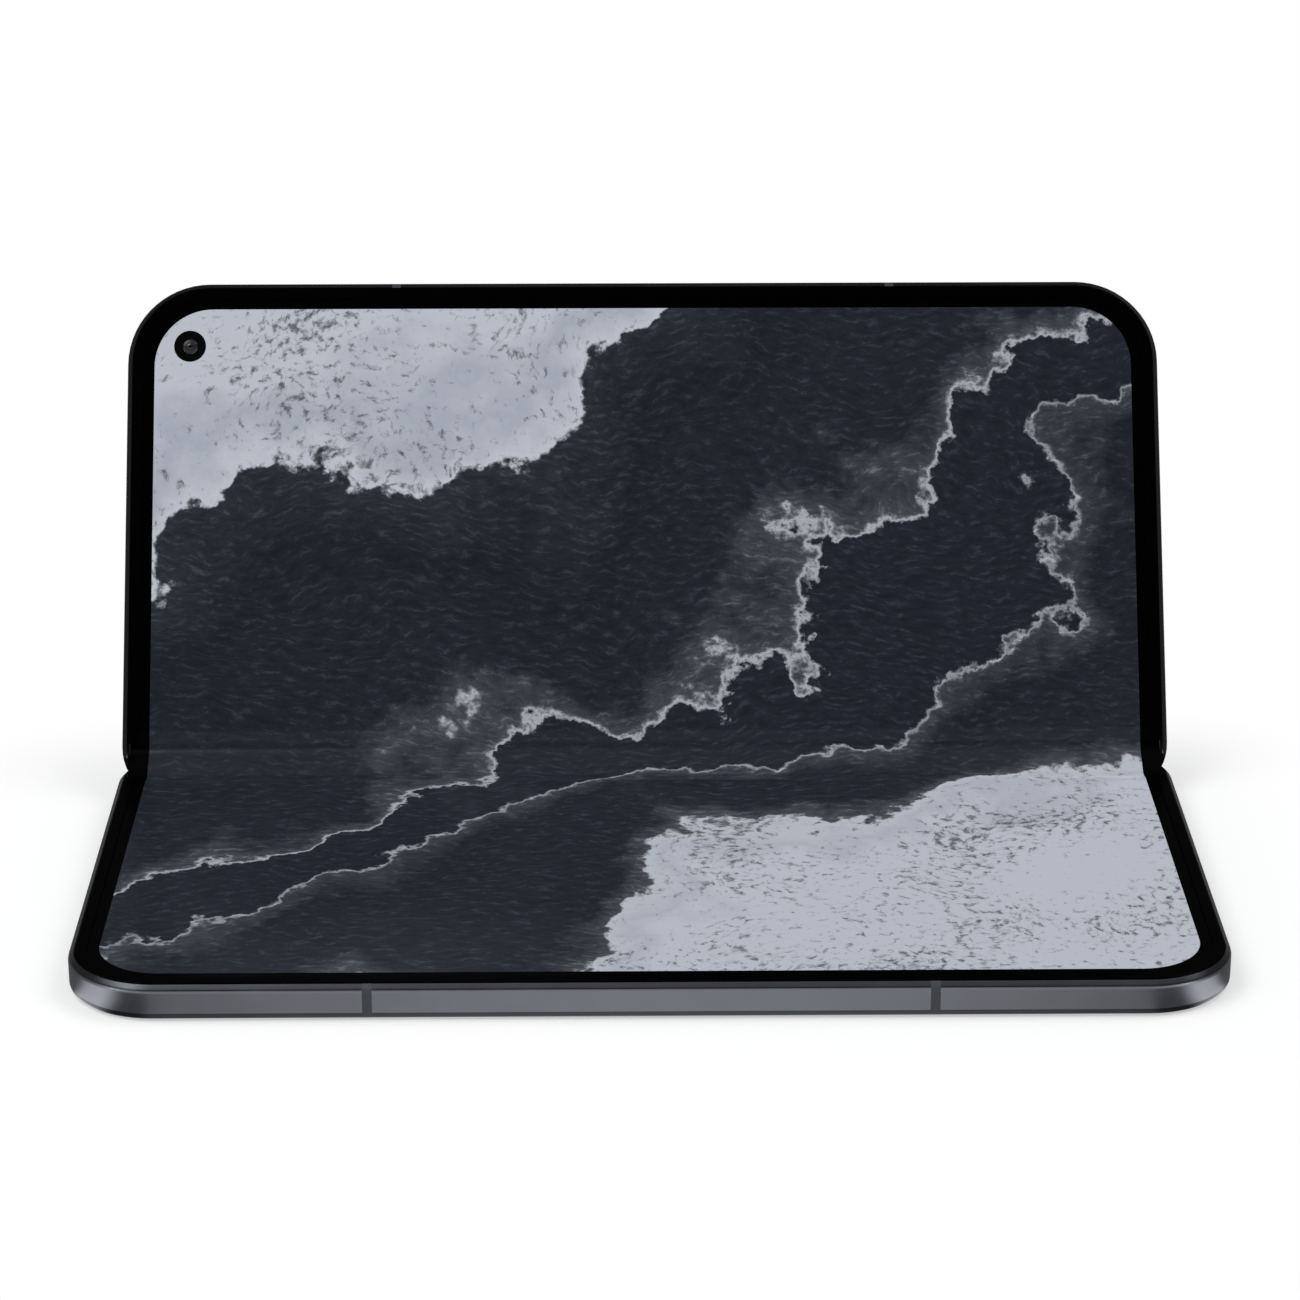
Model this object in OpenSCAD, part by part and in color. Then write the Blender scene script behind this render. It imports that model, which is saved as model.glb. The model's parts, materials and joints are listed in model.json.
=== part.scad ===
// Foldable smartphone, half open like a small laptop.
// The lower half lies on its outer display and the upper half leans back.
// All pieces are drawn for the phone lying flat open: x runs along the hinge,
// the fold line is y = 0 and the inner display is z = 0. The three modules
// at_base, at_spine and at_lid then fold them to the opening angle.

/* [Body] */
// Length of the phone along its hinge
body_w = 155.2; // [150:0.1:162]
// Width of one half, from the fold line to its outer edge
half_d = 74.6; // [72:0.1:80]
// Thickness of one half
thick = 5; // [4.95:0.05:5.3]
// Angle between the two halves of the inner display
opening = 120; // [105:1:150]
// Radius of the outer corners, seen from above
corner_r = 12.3; // [11:0.1:15]
// Radius of the corners beside the hinge
hinge_corner_r = 7.8; // [6:0.1:9]
// Depth of the notch that these corners make at each end of the fold
notch = 1.2; // [1:0.05:1.2]
// Width of the frame's rim
rim_w = 2.2; // [2:0.1:2.4]
// Bevel along the frame's upper edge
top_chamfer = 0.75; // [0.5:0.05:0.8]
// Rounding between this bevel and the frame's side
bevel_ease = 0.3; // [0.1:0.05:0.4]
// Height of the rounded lower edge of the frame
bottom_round_h = 0.9; // [0.6:0.05:1]
// Width of the rounded lower edge of the frame
bottom_round_w = 0.5; // [0.3:0.05:0.8]
// Height by which the outer glass stands out of the frame
glass_proud = 0.25; // [0.15:0.05:0.4]
// Thickness of the midplate under the inner display
midplate_t = 0.5; // [0.4:0.05:0.6]

/* [Inner display] */
// Thickness of the folding display
film_t = 0.5; // [0.35:0.05:0.55]
// Distance from the frame's side to the display's edge
film_inset = 1.3; // [1.3:0.05:1.4]
// Width of the polymer trim round the display
trim_w = 1.6; // [1.2:0.1:2]
// Distance from the frame's side to the trim
trim_inset = 0.85; // [0.8:0.05:1]
// Height of the trim above the display
trim_h = 0.2; // [0.1:0.02:0.24]
// Radius of the camera's hole in the display
punch_r = 2.4; // [2.2:0.1:2.6]
// Radius of the inner camera's lens
selfie_lens_r = 1.15; // [0.9:0.05:1.4]
// Distance from the frame's side to the inner camera's axis
selfie_side = 9.4; // [9:0.1:11]
// Distance from the frame's outer edge to the inner camera's axis
selfie_edge = 9.8; // [9:0.1:11]

/* [Outer glass] */
// Thickness of the outer glass on each half
glass_t = 0.65; // [0.6:0.05:0.7]
// Distance from the frame's side to the glass
glass_inset = 1.1; // [1:0.05:1.3]
// Bevel along the edge of the glass
glass_bevel = 0.3; // [0.1:0.05:0.4]
// Distance from the fold line to the glass
glass_hinge_gap = 4.8; // [4.7:0.1:5.4]
// Thickness of the outer display behind its glass
panel_t = 0.4; // [0.3:0.05:0.45]

/* [Hinge] */
// Depth of the two hinge shafts below the display
axis_depth = 2.2; // [2.15:0.05:2.25]
// Tooth module of the timing gears
gear_module = 0.16; // [0.155:0.005:0.165]
// Number of teeth on a half's gear
half_teeth = 15; // [15:1:15]
// Number of teeth on an idler
idler_teeth = 8; // [8:1:8]
// Width of a gear
gear_w = 1.6; // [1.2:0.1:1.8]
// Radius of a hinge shaft
shaft_r = 0.5; // [0.4:0.05:0.55]
// Radius of an idler's pin
idler_pin_r = 0.2; // [0.15:0.01:0.22]
// Gap round a turning shaft or pin
running_gap = 0.03; // [0.02:0.01:0.04]
// Thickness of each half's lip that covers the spine
lip_t = 0.7; // [0.6:0.05:0.75]
// Gap between a half's lip and the spine
spine_gap = 0.15; // [0.1:0.01:0.18]
// Wall of the spine cover
spine_wall = 0.4; // [0.3:0.05:0.42]
// Distance from the frame's side to the outer hinge modules
module_side = 19.6; // [18:0.1:30]
// Width of a hinge arm
arm_w = 10; // [8:0.5:12]
// Thickness of a hinge arm
arm_t = 0.7; // [0.5:0.05:0.75]
// Length of an arm from its shaft to its end
arm_l = 10.5; // [9:0.5:11]
// Radius of an arm's knuckle
knuckle_r = 0.95; // [0.85:0.05:1]
// Width of a bearing ear
ear_w = 2; // [1.5:0.1:2.4]
// Gap along the shaft between neighbouring pieces
end_gap = 0.2; // [0.15:0.05:0.3]
// Radius of a hinge screw's shank
screw_r = 0.4; // [0.35:0.01:0.4]

/* [Support plates] */
// Distance from the fold line to a support plate's pivot
plate_pivot_y = 7; // [6.9:0.1:7.3]
// Distance from the fold line to a support plate's free edge
plate_edge_y = 3.7; // [3.6:0.1:4.2]
// Thickness of a support plate
plate_t = 0.25; // [0.2:0.01:0.3]
// Tilt of a support plate per degree of the fold
plate_ratio = 0.2667; // [0.2:0.01:0.2667]
// Radius of a support plate's rolled edge
plate_roll_r = 0.27; // [0.25:0.01:0.3]

/* [Buttons and ports] */
// Height of the buttons' faces
button_h = 1.8; // [1.5:0.1:2]
// Height by which the buttons stand out of the frame
button_proud = 0.1; // [0.05:0.05:0.4]
// Travel of the power button
button_travel = 0.25; // [0.15:0.01:0.3]
// Distance of the power button from the middle
power_x = -20; // [-24:1:-16]
// Distance of the volume rocker from the middle
volume_x = 3; // [0:1:8]
// Radius of the rib on which the volume rocker turns
rocker_rib_r = 0.2; // [0.1:0.05:0.2]
// Length of the power button
power_l = 11; // [9:0.5:13]
// Length of the volume rocker
volume_l = 22; // [18:0.5:24]
// Gap round the buttons and the tray
slot_gap = 0.08; // [0.05:0.01:0.12]
// Width of the socket's opening
usb_w = 8.34; // [8.2:0.01:8.4]
// Height of the socket's opening
usb_h = 2.56; // [2.5:0.01:2.6]
// Wall of the socket's metal shell
usb_wall = 0.2; // [0.15:0.01:0.25]
// Depth of the socket
usb_depth = 6.6; // [6:0.1:7.5]
// Width of the card tray's body
tray_w = 13; // [11:0.5:14]
// Length of the card tray's body
tray_l = 19; // [16:0.5:20]
// Thickness of the card tray's body
tray_t = 1; // [0.8:0.05:1.1]
// Distance of the tray from the middle of the base half
tray_shift = 2.7; // [2:0.1:4]
// Width of a speaker slot
speaker_slot_w = 10; // [7:0.5:11]
// Height of a speaker slot
speaker_slot_h = 0.9; // [0.7:0.05:1]
// Radius of a microphone's hole
mic_r = 0.35; // [0.25:0.05:0.5]
// Distance from the frame's outer edge to the base's microphone
base_mic_edge = 14.6; // [14:0.1:16]
// Distance of the lid's microphone from the middle of its half
lid_mic_shift = 7.3; // [6:0.1:9]
// Distance of the lid's speaker from the support plate's pivot
lid_speaker_shift = 14.2; // [13:0.1:15]
// Length of a speaker box
speaker_l = 15; // [14:0.5:16]
// Depth of a speaker box from the frame's side
speaker_depth = 17; // [14:0.5:18]
// Distance from the frame's outer edge to the base speaker
base_speaker_edge = 22.6; // [21:0.1:26]
// Distance of an antenna break from the middle
antenna_x = 37.2; // [34:0.1:42]
// Width of an antenna break
antenna_w = 1.3; // [1:0.1:1.6]

/* [Rear cameras] */
// Width of the camera island across the phone
island_l = 46; // [44:0.5:48]
// Height of the camera island along the hinge
island_w = 24; // [22:0.5:25]
// Radius of the island's corners
island_r = 8; // [5:0.5:9]
// Height of the island above the back glass
island_h = 2; // [1.6:0.1:2.6]
// Distance between two lenses
lens_pitch = 15; // [13:0.5:15]
// Radius of a lens cover
lens_r = 4.9; // [4.4:0.1:5.2]
// Radius of a camera's barrel
barrel_r = 4; // [3.6:0.1:4.1]
// Side of a camera's body
camera_w = 9.2; // [8.5:0.1:9.6]
// Radius of the flash lamp
flash_r = 1.5; // [1.2:0.1:1.8]
// Thickness of a lens cover
lens_t = 0.45; // [0.3:0.05:0.6]
// Distance from the frame's side to the island's middle
island_side = 20.1; // [19:0.1:24]

/* [Inner parts] */
// Length of a battery along the hinge
battery_l = 72; // [60:1:76]
// Width of a battery
battery_w = 46; // [40:1:47]
// Thickness of a battery
battery_t = 2.75; // [2.4:0.05:2.8]
// Distance of the batteries' middle from that of their half
battery_shift = 4.7; // [3:0.1:6]
// Thickness of the circuit boards
board_t = 0.6; // [0.5:0.05:0.7]
// Width of the base's board
base_board_w = 33.4; // [28:0.1:36]
// Length of the base's board
base_board_l = 50; // [44:1:54]
// Width of the main board
main_board_w = 41; // [38:0.5:43]
// Distance from the support plate's pivot to the main board
board_hinge_gap = 7; // [7:0.1:8]
// Height of the shield cans
can_h = 1.6; // [1.2:0.1:1.8]
// Width of the shield cans
can_w = 17; // [12:0.5:17]
// Side of the vibration motor
motor_w = 10; // [8:0.5:11]
// Distance from the frame's side to the vibration motor
motor_side = 20.2; // [19.6:0.1:20.4]
// Distance of the vibration motor from the middle of the base half
motor_shift = 3.3; // [2:0.1:6]
// Outer radius of the charging coil
coil_r = 21; // [18:0.5:22.5]
// Inner radius of the charging coil
coil_bore_r = 11; // [9:0.5:13]
// Thickness of the charging coil
coil_t = 0.4; // [0.2:0.05:0.45]
// Length of a holding magnet
magnet_l = 14; // [10:0.5:18]
// Thickness of a holding magnet
magnet_t = 1.2; // [0.8:0.1:1.3]
// Distance from the frame's side to a holding magnet's middle
magnet_side = 25.6; // [24:0.1:30]
// Thickness of the flex cables
flex_t = 0.12; // [0.08:0.01:0.16]
// Width of a flex cable
flex_w = 12; // [8:0.5:14]
// Length of a flex cable past the support plate's pivot
flex_tail = 7.5; // [5:0.5:9]
// Distance of the flex cables from the middle
flex_x = 30; // [26:1:34]

/* [Hidden] */
$fn = 96;
// How far each half is folded from the flat spine
tilt = (180 - opening) / 2;
fold_gap = 0.05;
seat_gap = 0.05;
pressure = 25;
addendum = 0.7;
dedendum = 1.1;
backlash = 0.2;
half_gear_r = half_teeth * gear_module / 2;
idler_r = idler_teeth * gear_module / 2;
// The gears of both halves and their two idlers stand in one row
axis_y = half_gear_r + 2 * idler_r;
spine_r = thick - lip_t - spine_gap - axis_depth;
spine_in_r = spine_r - spine_wall;
spine_edge_z = -axis_depth - 0.55;
cavity_top = -film_t - midplate_t;
glass_top = -thick + glass_t;
rim_bottom = -thick + glass_proud;
panel_top = glass_top + panel_t;
rim_mid = (rim_bottom + bottom_round_h - top_chamfer) / 2;
half_x = body_w / 2;
inner_x = half_x - rim_w;
inner_y = half_d - rim_w;
half_mid_y = -half_d / 2;
cheek_x = half_x - film_inset;
cap_x = cheek_x - 0.1;
cap_t = 0.5;
lip_inset = notch + 0.1;
// Rounded lower edge, straight side, eased bevel: each step is an inset and a height
lower_edge = [for (a = [0:22.5:90])
    [bottom_round_w * (1 - sin(a)), rim_bottom + bottom_round_h * (1 - cos(a))]];
bevel_start = [[0, -top_chamfer - bevel_ease], [0, -top_chamfer], [bevel_ease, bevel_ease - top_chamfer]];
upper_edge = [for (t = [0, 1 / 3, 2 / 3, 1])
    pow(1 - t, 2) * bevel_start[0] + 2 * t * (1 - t) * bevel_start[1] + pow(t, 2) * bevel_start[2]];
rim_steps = concat(lower_edge, upper_edge, [[top_chamfer, 0]]);
glass_steps = [[glass_inset + glass_bevel, -thick], [glass_inset, glass_bevel - thick],
    [glass_inset, glass_top]];
trim_steps = [[trim_inset, 0], [trim_inset, trim_h / 2], [trim_inset + trim_h / 2, trim_h]];
// The round corner beside the hinge starts this far from the fold line
nose_y = fold_gap + sqrt(pow(hinge_corner_r, 2) - pow(hinge_corner_r - notch, 2));
// The fold of the display is an arc that touches both halves and the spine
fold_r = axis_y * sin(tilt) / (1 - cos(tilt)) - axis_depth;
// That arc leaves each half at this flat distance from the fold line
fold_start = 2 * axis_y;
module_x = half_x - module_side;
arm_top = -axis_depth + 0.3;
arm_bottom = arm_top - arm_t;
arm_xs = [-module_x, 0, module_x];
screw_y = -axis_y - arm_l + 2;
screw_dx = arm_w / 2 - 2;
screw_depth = 1;
screw_head_h = 0.35;
screw_head_r = 2 * screw_r;
pad_w = arm_w + 0.8;
ear_x = arm_w / 2 + end_gap;
gear_x = ear_x + ear_w + end_gap;
outer_ear_x = gear_x + gear_w + end_gap;
module_end = outer_ear_x + ear_w + end_gap;
bracket_floor = 0.35;
plate_top = -film_t - 0.1;
plate_roll_z = plate_top - 0.4;
plate_x = inner_x - 0.2;
plate_lap = 0.1;
edge_block_w = 1.4;
edge_block_h = 0.4;
pad_end = 0.4;
middle_plate_y = 1.2;
spring_turns = 8;
// Parts in the pocket of a half stop here, just above the outer display's panel
pocket_floor = panel_top + 0.25;
pocket_gap = 0.6;
button_z = rim_mid;
flange_gap = 0.12;
flange_t = 0.4;
flange_lap = 0.2;
switch_y = button_travel + flange_gap + flange_t + 0.1 - inner_y;
usb_y = half_mid_y;
usb_z = cavity_top - usb_h / 2 - usb_wall - seat_gap;
tongue_w = 6.7;
tongue_t = 0.7;
tray_y = half_mid_y - tray_shift;
tray_z = rim_mid;
tray_head_w = tray_w + 1.6;
tray_head_h = tray_t + 0.8;
tray_head_t = 1.2;
tray_rim = 1.5;
tray_floor = 0.2;
reader_wall = 0.8;
ejector_r = 0.4;
base_speaker_y = base_speaker_edge - half_d;
lid_speaker_y = -plate_pivot_y - lid_speaker_shift;
mesh_t = 0.3;
mesh_pitch = 1;
mesh_hole_r = 0.28;
base_mic_y = base_mic_edge - half_d;
lid_mic_y = half_mid_y + lid_mic_shift;
island_x = island_side - half_x;
island_y = half_mid_y - battery_shift;
island_step = 0.5;
island_land = 2;
lens_shift = -1.5;
lamp_dx = 7.6;
lamp_t = 0.6;
selfie_x = selfie_side - half_x;
selfie_y = selfie_edge - half_d;
selfie_top = -0.12;
selfie_bottom = -3.6;
cover_camera_x = selfie_x + 0.2;
cover_camera_r = 2.1;
battery_y = half_mid_y - battery_shift;
base_battery_x = inner_x - base_board_w - pocket_gap - battery_l / 2;
lid_battery_x = main_board_w + 1 + battery_l / 2 - inner_x;
can_edge = 4.4;
can_gap = 1.5;
can_x = island_x + lens_shift + camera_w / 2 + 1;
board_end = -plate_pivot_y - board_hinge_gap;
motor_x = motor_side - half_x;
motor_y = half_mid_y + motor_shift;
magnet_x = half_x - magnet_side;
flex_end = plate_pivot_y + flex_tail;

// ---- Where the pieces go ----

module about(y, z, angle) {
    translate([0, y, z]) rotate([angle, 0, 0]) translate([0, -y, -z]) children();
}

module at_base() {
    translate([0, half_d / 2, thick]) children();
}

module at_spine() {
    at_base() about(-axis_y, -axis_depth, tilt) children();
}

module at_lid() {
    at_spine() about(axis_y, -axis_depth, tilt) children();
}

// A piece drawn for the base half, set in the lid half instead
module at_lid_half() {
    at_lid() mirror([0, 1, 0]) children();
}

module both_sides() {
    children();
    mirror([1, 0, 0]) children();
}

// ---- Shapes that repeat ----

module box(x, y, z) {
    translate([x[0], y[0], z[0]]) cube([x[1] - x[0], y[1] - y[0], z[1] - z[0]]);
}

// A drawing in y and z, run along the hinge
module along_x(x0, x1) {
    translate([x0, 0, 0]) rotate([90, 0, 90]) linear_extrude(x1 - x0) children();
}

// A drawing in x and z, run across the hinge
module along_y(y0, y1) {
    translate([0, y1, 0]) rotate([90, 0, 0]) linear_extrude(y1 - y0) children();
}

module upright(z0, z1) {
    translate([0, 0, z0]) linear_extrude(z1 - z0) children();
}

module pair_of_axes(r) {
    for (y = [-axis_y, axis_y]) {
        translate([y, -axis_depth]) circle(r);
    }
}

module stadium(w, h) {
    square([w - h, h], center = true);
    translate([(w - h) / 2, 0]) circle(d = h);
    translate([(h - w) / 2, 0]) circle(d = h);
}

// Outline of a half, drawn in by inset, ending at y = end
module half_outline(inset, end) {
    r = corner_r - inset;
    x = half_x - inset;
    translate([-x, r + inset - half_d]) square([2 * x, half_d - r - inset + end]);
    translate([r - x, inset - half_d]) square([2 * (x - r), r + 1]);
    for (side = [-1, 1]) {
        translate([side * (x - r), r + inset - half_d]) circle(r);
    }
}

// A slab on the outline of a half. Each step gives its inset and its height.
module half_slab(steps, end) {
    low = steps[0][1];
    high = steps[len(steps) - 1][1];
    right = [for (s = steps) [half_x - s[0], s[1]]];
    left = [for (i = [len(steps) - 1:-1:0]) [-right[i][0], right[i][1]]];
    front = [for (s = steps) [s[0] - half_d, s[1]]];
    corner = [for (s = steps) [corner_r - s[0], s[1]]];
    along_y(corner_r - half_d, end) polygon(concat(right, left));
    along_x(corner_r - half_x, half_x - corner_r)
        polygon(concat(front, [[corner_r - half_d, high], [corner_r - half_d, low]]));
    for (side = [-1, 1]) {
        translate([side * (half_x - corner_r), corner_r - half_d, 0])
            rotate_extrude() polygon(concat([[0, low]], corner, [[0, high]]));
    }
}

// ---- Gears ----

function involute(a) = tan(a) * 180 / PI - a;

function tooth_half_angle(teeth, r, at_r) =
    90 / teeth * (1 - backlash) + involute(pressure) - involute(acos(min(1, r * cos(pressure) / at_r)));

function tooth_point(r, angle) = [r * cos(angle), r * sin(angle)];

function gear_points(teeth, phase) =
    let (
        r = teeth * gear_module / 2,
        root = r - dedendum * gear_module,
        tip = r + addendum * gear_module,
        radii = [max(root, r * cos(pressure)), r, (r + tip) / 2, tip],
        halves = [for (q = radii) tooth_half_angle(teeth, r, q)]
    )
    [for (k = [0:teeth - 1])
        let (a = phase + 360 * k / teeth)
        for (p = concat(
            [tooth_point(root, a - halves[0])],
            [for (i = [0:3]) tooth_point(radii[i], a - halves[i])],
            [for (i = [3:-1:0]) tooth_point(radii[i], a + halves[i])],
            [tooth_point(root, a + halves[0])]))
            p];

// Phase of a gear that meshes with one on its left whose phase is known
function meshed(phase, teeth, next_teeth) = 180 - teeth / next_teeth * phase + 180 / next_teeth;

front_idler_phase = meshed(0, half_teeth, idler_teeth);
rear_idler_phase = meshed(front_idler_phase, idler_teeth, idler_teeth);
lid_gear_phase = meshed(rear_idler_phase, idler_teeth, half_teeth) - tilt;
base_gear_phase = tilt;

module gear_pair(y, teeth, phase, bore_r) {
    both_sides_same(module_x + gear_x, module_x + gear_x + gear_w) difference() {
        translate([y, -axis_depth]) polygon(gear_points(teeth, phase));
        translate([y, -axis_depth]) circle(bore_r, $fn = 48);
    }
}

// A drawing in y and z, run along the hinge at both hinge modules
module both_sides_same(x0, x1) {
    along_x(x0, x1) children();
    along_x(-x1, -x0) children();
}

// ---- Pieces that both halves have ----

// Solid metal of a half before anything is cut out of it
module half_metal() {
    difference() {
        union() {
            half_slab(rim_steps, -nose_y);
            for (side = [-1, 1]) {
                translate([side * (half_x - hinge_corner_r), -nose_y, 0])
                    rotate_extrude() polygon(concat(
                        [[0, rim_bottom]],
                        [for (s = rim_steps) [hinge_corner_r - s[0], s[1]]],
                        [[0, 0]]));
            }
            box([hinge_corner_r - half_x, half_x - hinge_corner_r], [-nose_y, -fold_gap], [rim_bottom, 0]);
            // Lip that covers the spine, level with the outer glass
            box([lip_inset - half_x, half_x - lip_inset], [seat_gap - glass_hinge_gap, -fold_gap],
                [-thick, rim_bottom + 0.1]);
        }
        // Both halves end just short of the fold line
        box([-body_w, body_w], [-fold_gap, corner_r], [-2 * thick, thick]);
        // Round noses, so that the halves roll past each other
        along_x(-body_w, body_w) difference() {
            translate([-axis_y, -axis_depth]) square([2 * axis_y, 2 * axis_depth]);
            translate([-axis_y, -axis_depth]) circle(axis_y - fold_gap);
        }
    }
}

module frame_cuts() {
    // Recess for the inner display
    upright(-film_t, thick) half_outline(film_inset - seat_gap, 1);
    // Groove in which the support plate's rolled edge turns
    along_x(-inner_x, inner_x) translate([-plate_pivot_y, plate_roll_z]) circle(plate_roll_r + seat_gap);
    // Room for the arms and the support plate
    box([-inner_x, inner_x], [-plate_pivot_y, 1], [spine_edge_z, thick]);
    // Room for the spine
    along_x(-cheek_x, cheek_x) {
        translate([-axis_y, -axis_depth]) circle(spine_r + spine_gap);
        translate([-axis_y, lip_t - thick]) square([2 * axis_y, thick - lip_t - axis_depth]);
        translate([-axis_y - spine_r - spine_gap, -axis_depth]) square([3 * axis_y, thick]);
    }
    // Threaded holes for the arm screws
    for (x = arm_xs, dx = [-screw_dx, screw_dx]) {
        translate([x + dx, screw_y, arm_bottom - screw_depth - 0.1])
            cylinder(h = screw_depth + 0.2, r = screw_r, $fn = 32);
        translate([x + dx, screw_y, cavity_top - 0.1])
            cylinder(h = thick, r = 1.2 * screw_head_r, $fn = 32);
    }
}

module half_frame() {
    difference() {
        union() {
            difference() {
                half_metal();
                upright(glass_top - 0.01, cavity_top) half_outline(rim_w, plate_lap - plate_pivot_y);
                upright(-2 * thick, glass_top)
                    half_outline(glass_inset - seat_gap, seat_gap - glass_hinge_gap);
            }
            // Thick edge of the midplate, which carries the support plate
            box([-inner_x - 0.1, inner_x + 0.1],
                [-plate_pivot_y - edge_block_w, plate_lap - plate_pivot_y],
                [plate_roll_z - edge_block_h, cavity_top + 0.1]);
            // Pads under the hinge arms
            for (x = arm_xs) {
                box([x - pad_w / 2, x + pad_w / 2],
                    [-axis_y - arm_l - pad_end, plate_lap - plate_pivot_y],
                    [panel_top + seat_gap, arm_bottom]);
            }
        }
        frame_cuts();
    }
}

module antenna_slots() {
    for (side = [-1, 1]) {
        box([side * antenna_x - antenna_w / 2, side * antenna_x + antenna_w / 2], [-half_d - 1, -inner_y],
            [-2 * thick, thick]);
    }
}

module antenna_bands() {
    color([0.17, 0.18, 0.2]) intersection() {
        half_frame();
        antenna_slots();
    }
}

module bezel_trim() {
    color([0.015, 0.015, 0.017]) difference() {
        half_slab(trim_steps, -axis_y - spine_r - spine_gap);
        upright(-1, 1) half_outline(trim_inset + trim_w, 1);
    }
}

module display_section() {
    color([0.13, 0.14, 0.17]) upright(-film_t, 0) half_outline(film_inset, -fold_start - seat_gap);
}

module outer_glass() {
    half_slab(glass_steps, -glass_hinge_gap);
}

module hinge_arms() {
    color([0.62, 0.62, 0.64]) for (x = arm_xs) {
        difference() {
            along_x(x - arm_w / 2, x + arm_w / 2) {
                difference() {
                    union() {
                        translate([-axis_y, -axis_depth]) circle(knuckle_r, $fn = 48);
                        translate([-axis_y - arm_l, arm_bottom]) square([arm_l, arm_t]);
                    }
                    translate([-axis_y, -axis_depth]) circle(shaft_r, $fn = 48);
                }
            }
            for (dx = [-screw_dx, screw_dx]) {
                translate([x + dx, screw_y, arm_bottom - 1])
                    cylinder(h = arm_t + 2, r = screw_r + seat_gap, $fn = 32);
            }
        }
    }
}

module hinge_shafts() {
    color([0.75, 0.75, 0.77]) for (x = arm_xs) {
        along_x(x - module_end, x + module_end) translate([-axis_y, -axis_depth]) circle(shaft_r, $fn = 48);
    }
}

module arm_screws() {
    color([0.35, 0.35, 0.37]) for (x = arm_xs, dx = [-screw_dx, screw_dx]) {
        translate([x + dx, screw_y, 0]) difference() {
            union() {
                translate([0, 0, arm_bottom - screw_depth])
                    cylinder(h = screw_depth + arm_t, r = screw_r, $fn = 32);
                translate([0, 0, arm_top]) cylinder(h = screw_head_h, r = screw_head_r, $fn = 32);
            }
            // Hexagon socket
            translate([0, 0, arm_top + screw_head_h / 2]) cylinder(h = screw_head_h, r = screw_r, $fn = 6);
        }
    }
}

module support_plate() {
    color([0.3, 0.3, 0.32]) about(-plate_pivot_y, plate_roll_z, -tilt * plate_ratio) difference() {
        along_x(-plate_x, plate_x) {
            translate([-plate_pivot_y, plate_roll_z]) circle(plate_roll_r, $fn = 48);
            translate([plate_lap - plate_pivot_y, plate_top - plate_t])
                square([plate_pivot_y - plate_edge_y - plate_lap, plate_t]);
        }
        // Notches over the hinge arms
        for (x = arm_xs) {
            box([x - pad_w / 2, x + pad_w / 2], [-plate_pivot_y + 0.8, 0], [-thick, thick]);
        }
    }
}

module magnets() {
    color([0.5, 0.5, 0.52]) both_sides()
        box([magnet_x - magnet_l / 2, magnet_x + magnet_l / 2], [-inner_y, magnet_t - inner_y],
            [pocket_floor, cavity_top]);
}

module battery(x) {
    color([0.2, 0.21, 0.22]) box([x - battery_l / 2, x + battery_l / 2],
        [battery_y - battery_w / 2, battery_y + battery_w / 2], [cavity_top - battery_t, cavity_top]);
}

// A board under the midplate, cut to the pocket's own outline
module board(x, y) {
    color([0.05, 0.2, 0.12]) intersection() {
        box(x, y, [cavity_top - board_t, cavity_top]);
        upright(-thick, 0) half_outline(rim_w + pocket_gap, 0);
    }
}

module speaker_slot(side, y) {
    translate([side * (half_x - rim_w / 2), y, button_z]) rotate([0, 90, 0]) rotate([0, 0, 90])
        linear_extrude(rim_w + 1, center = true) stadium(speaker_slot_w, speaker_slot_h);
}

module speaker_box(side, y) {
    color([0.1, 0.1, 0.11]) difference() {
        box(ordered(side * (inner_x - mesh_t), side * (inner_x - speaker_depth)),
            [y - speaker_l / 2, y + speaker_l / 2], [pocket_floor, cavity_top]);
        box(ordered(side * inner_x, side * (inner_x - speaker_depth / 3)),
            [y - speaker_slot_w / 2, y + speaker_slot_w / 2],
            [button_z - speaker_slot_h / 2, button_z + speaker_slot_h / 2]);
    }
}

module speaker_mesh_plate(side, y) {
    color([0.2, 0.2, 0.21]) difference() {
        box(ordered(side * inner_x, side * (inner_x - mesh_t)),
            [y - speaker_slot_w / 2 - 1.5, y + speaker_slot_w / 2 + 1.5], [button_z - 1, button_z + 1]);
        for (dy = [1 - speaker_slot_w / 2:mesh_pitch:speaker_slot_w / 2 - 1]) {
            translate([side * inner_x, y + dy, button_z]) rotate([0, 90, 0])
                cylinder(h = 4 * mesh_t, r = mesh_hole_r, center = true, $fn = 24);
        }
    }
}

function ordered(a, b) = [min(a, b), max(a, b)];

// ---- Base half ----

module base_frame() {
    color([0.3, 0.31, 0.34]) at_base() difference() {
        half_frame();
        antenna_slots();
        speaker_slot(-1, base_speaker_y);
        // Opening for the card tray and its head
        box([inner_x - 1, body_w], [tray_y - tray_w / 2 - slot_gap, tray_y + tray_w / 2 + slot_gap],
            [tray_z - tray_t / 2 - slot_gap, tray_z + tray_t / 2 + slot_gap]);
        translate([0, tray_y, tray_z]) along_x(half_x - tray_head_t, body_w)
            stadium(tray_head_w + 2 * slot_gap, tray_head_h + 2 * slot_gap);
        // Microphone hole
        translate([inner_x - 1, base_mic_y, button_z]) rotate([0, 90, 0])
            cylinder(h = rim_w + 2, r = mic_r, $fn = 32);
    }
}

module base_antenna_bands() {
    at_base() antenna_bands();
}

module base_bezel_trim() {
    at_base() bezel_trim();
}

module lower_display() {
    at_base() display_section();
}

module cover_glass() {
    color([0.03, 0.03, 0.035]) at_base() outer_glass();
}

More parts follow.
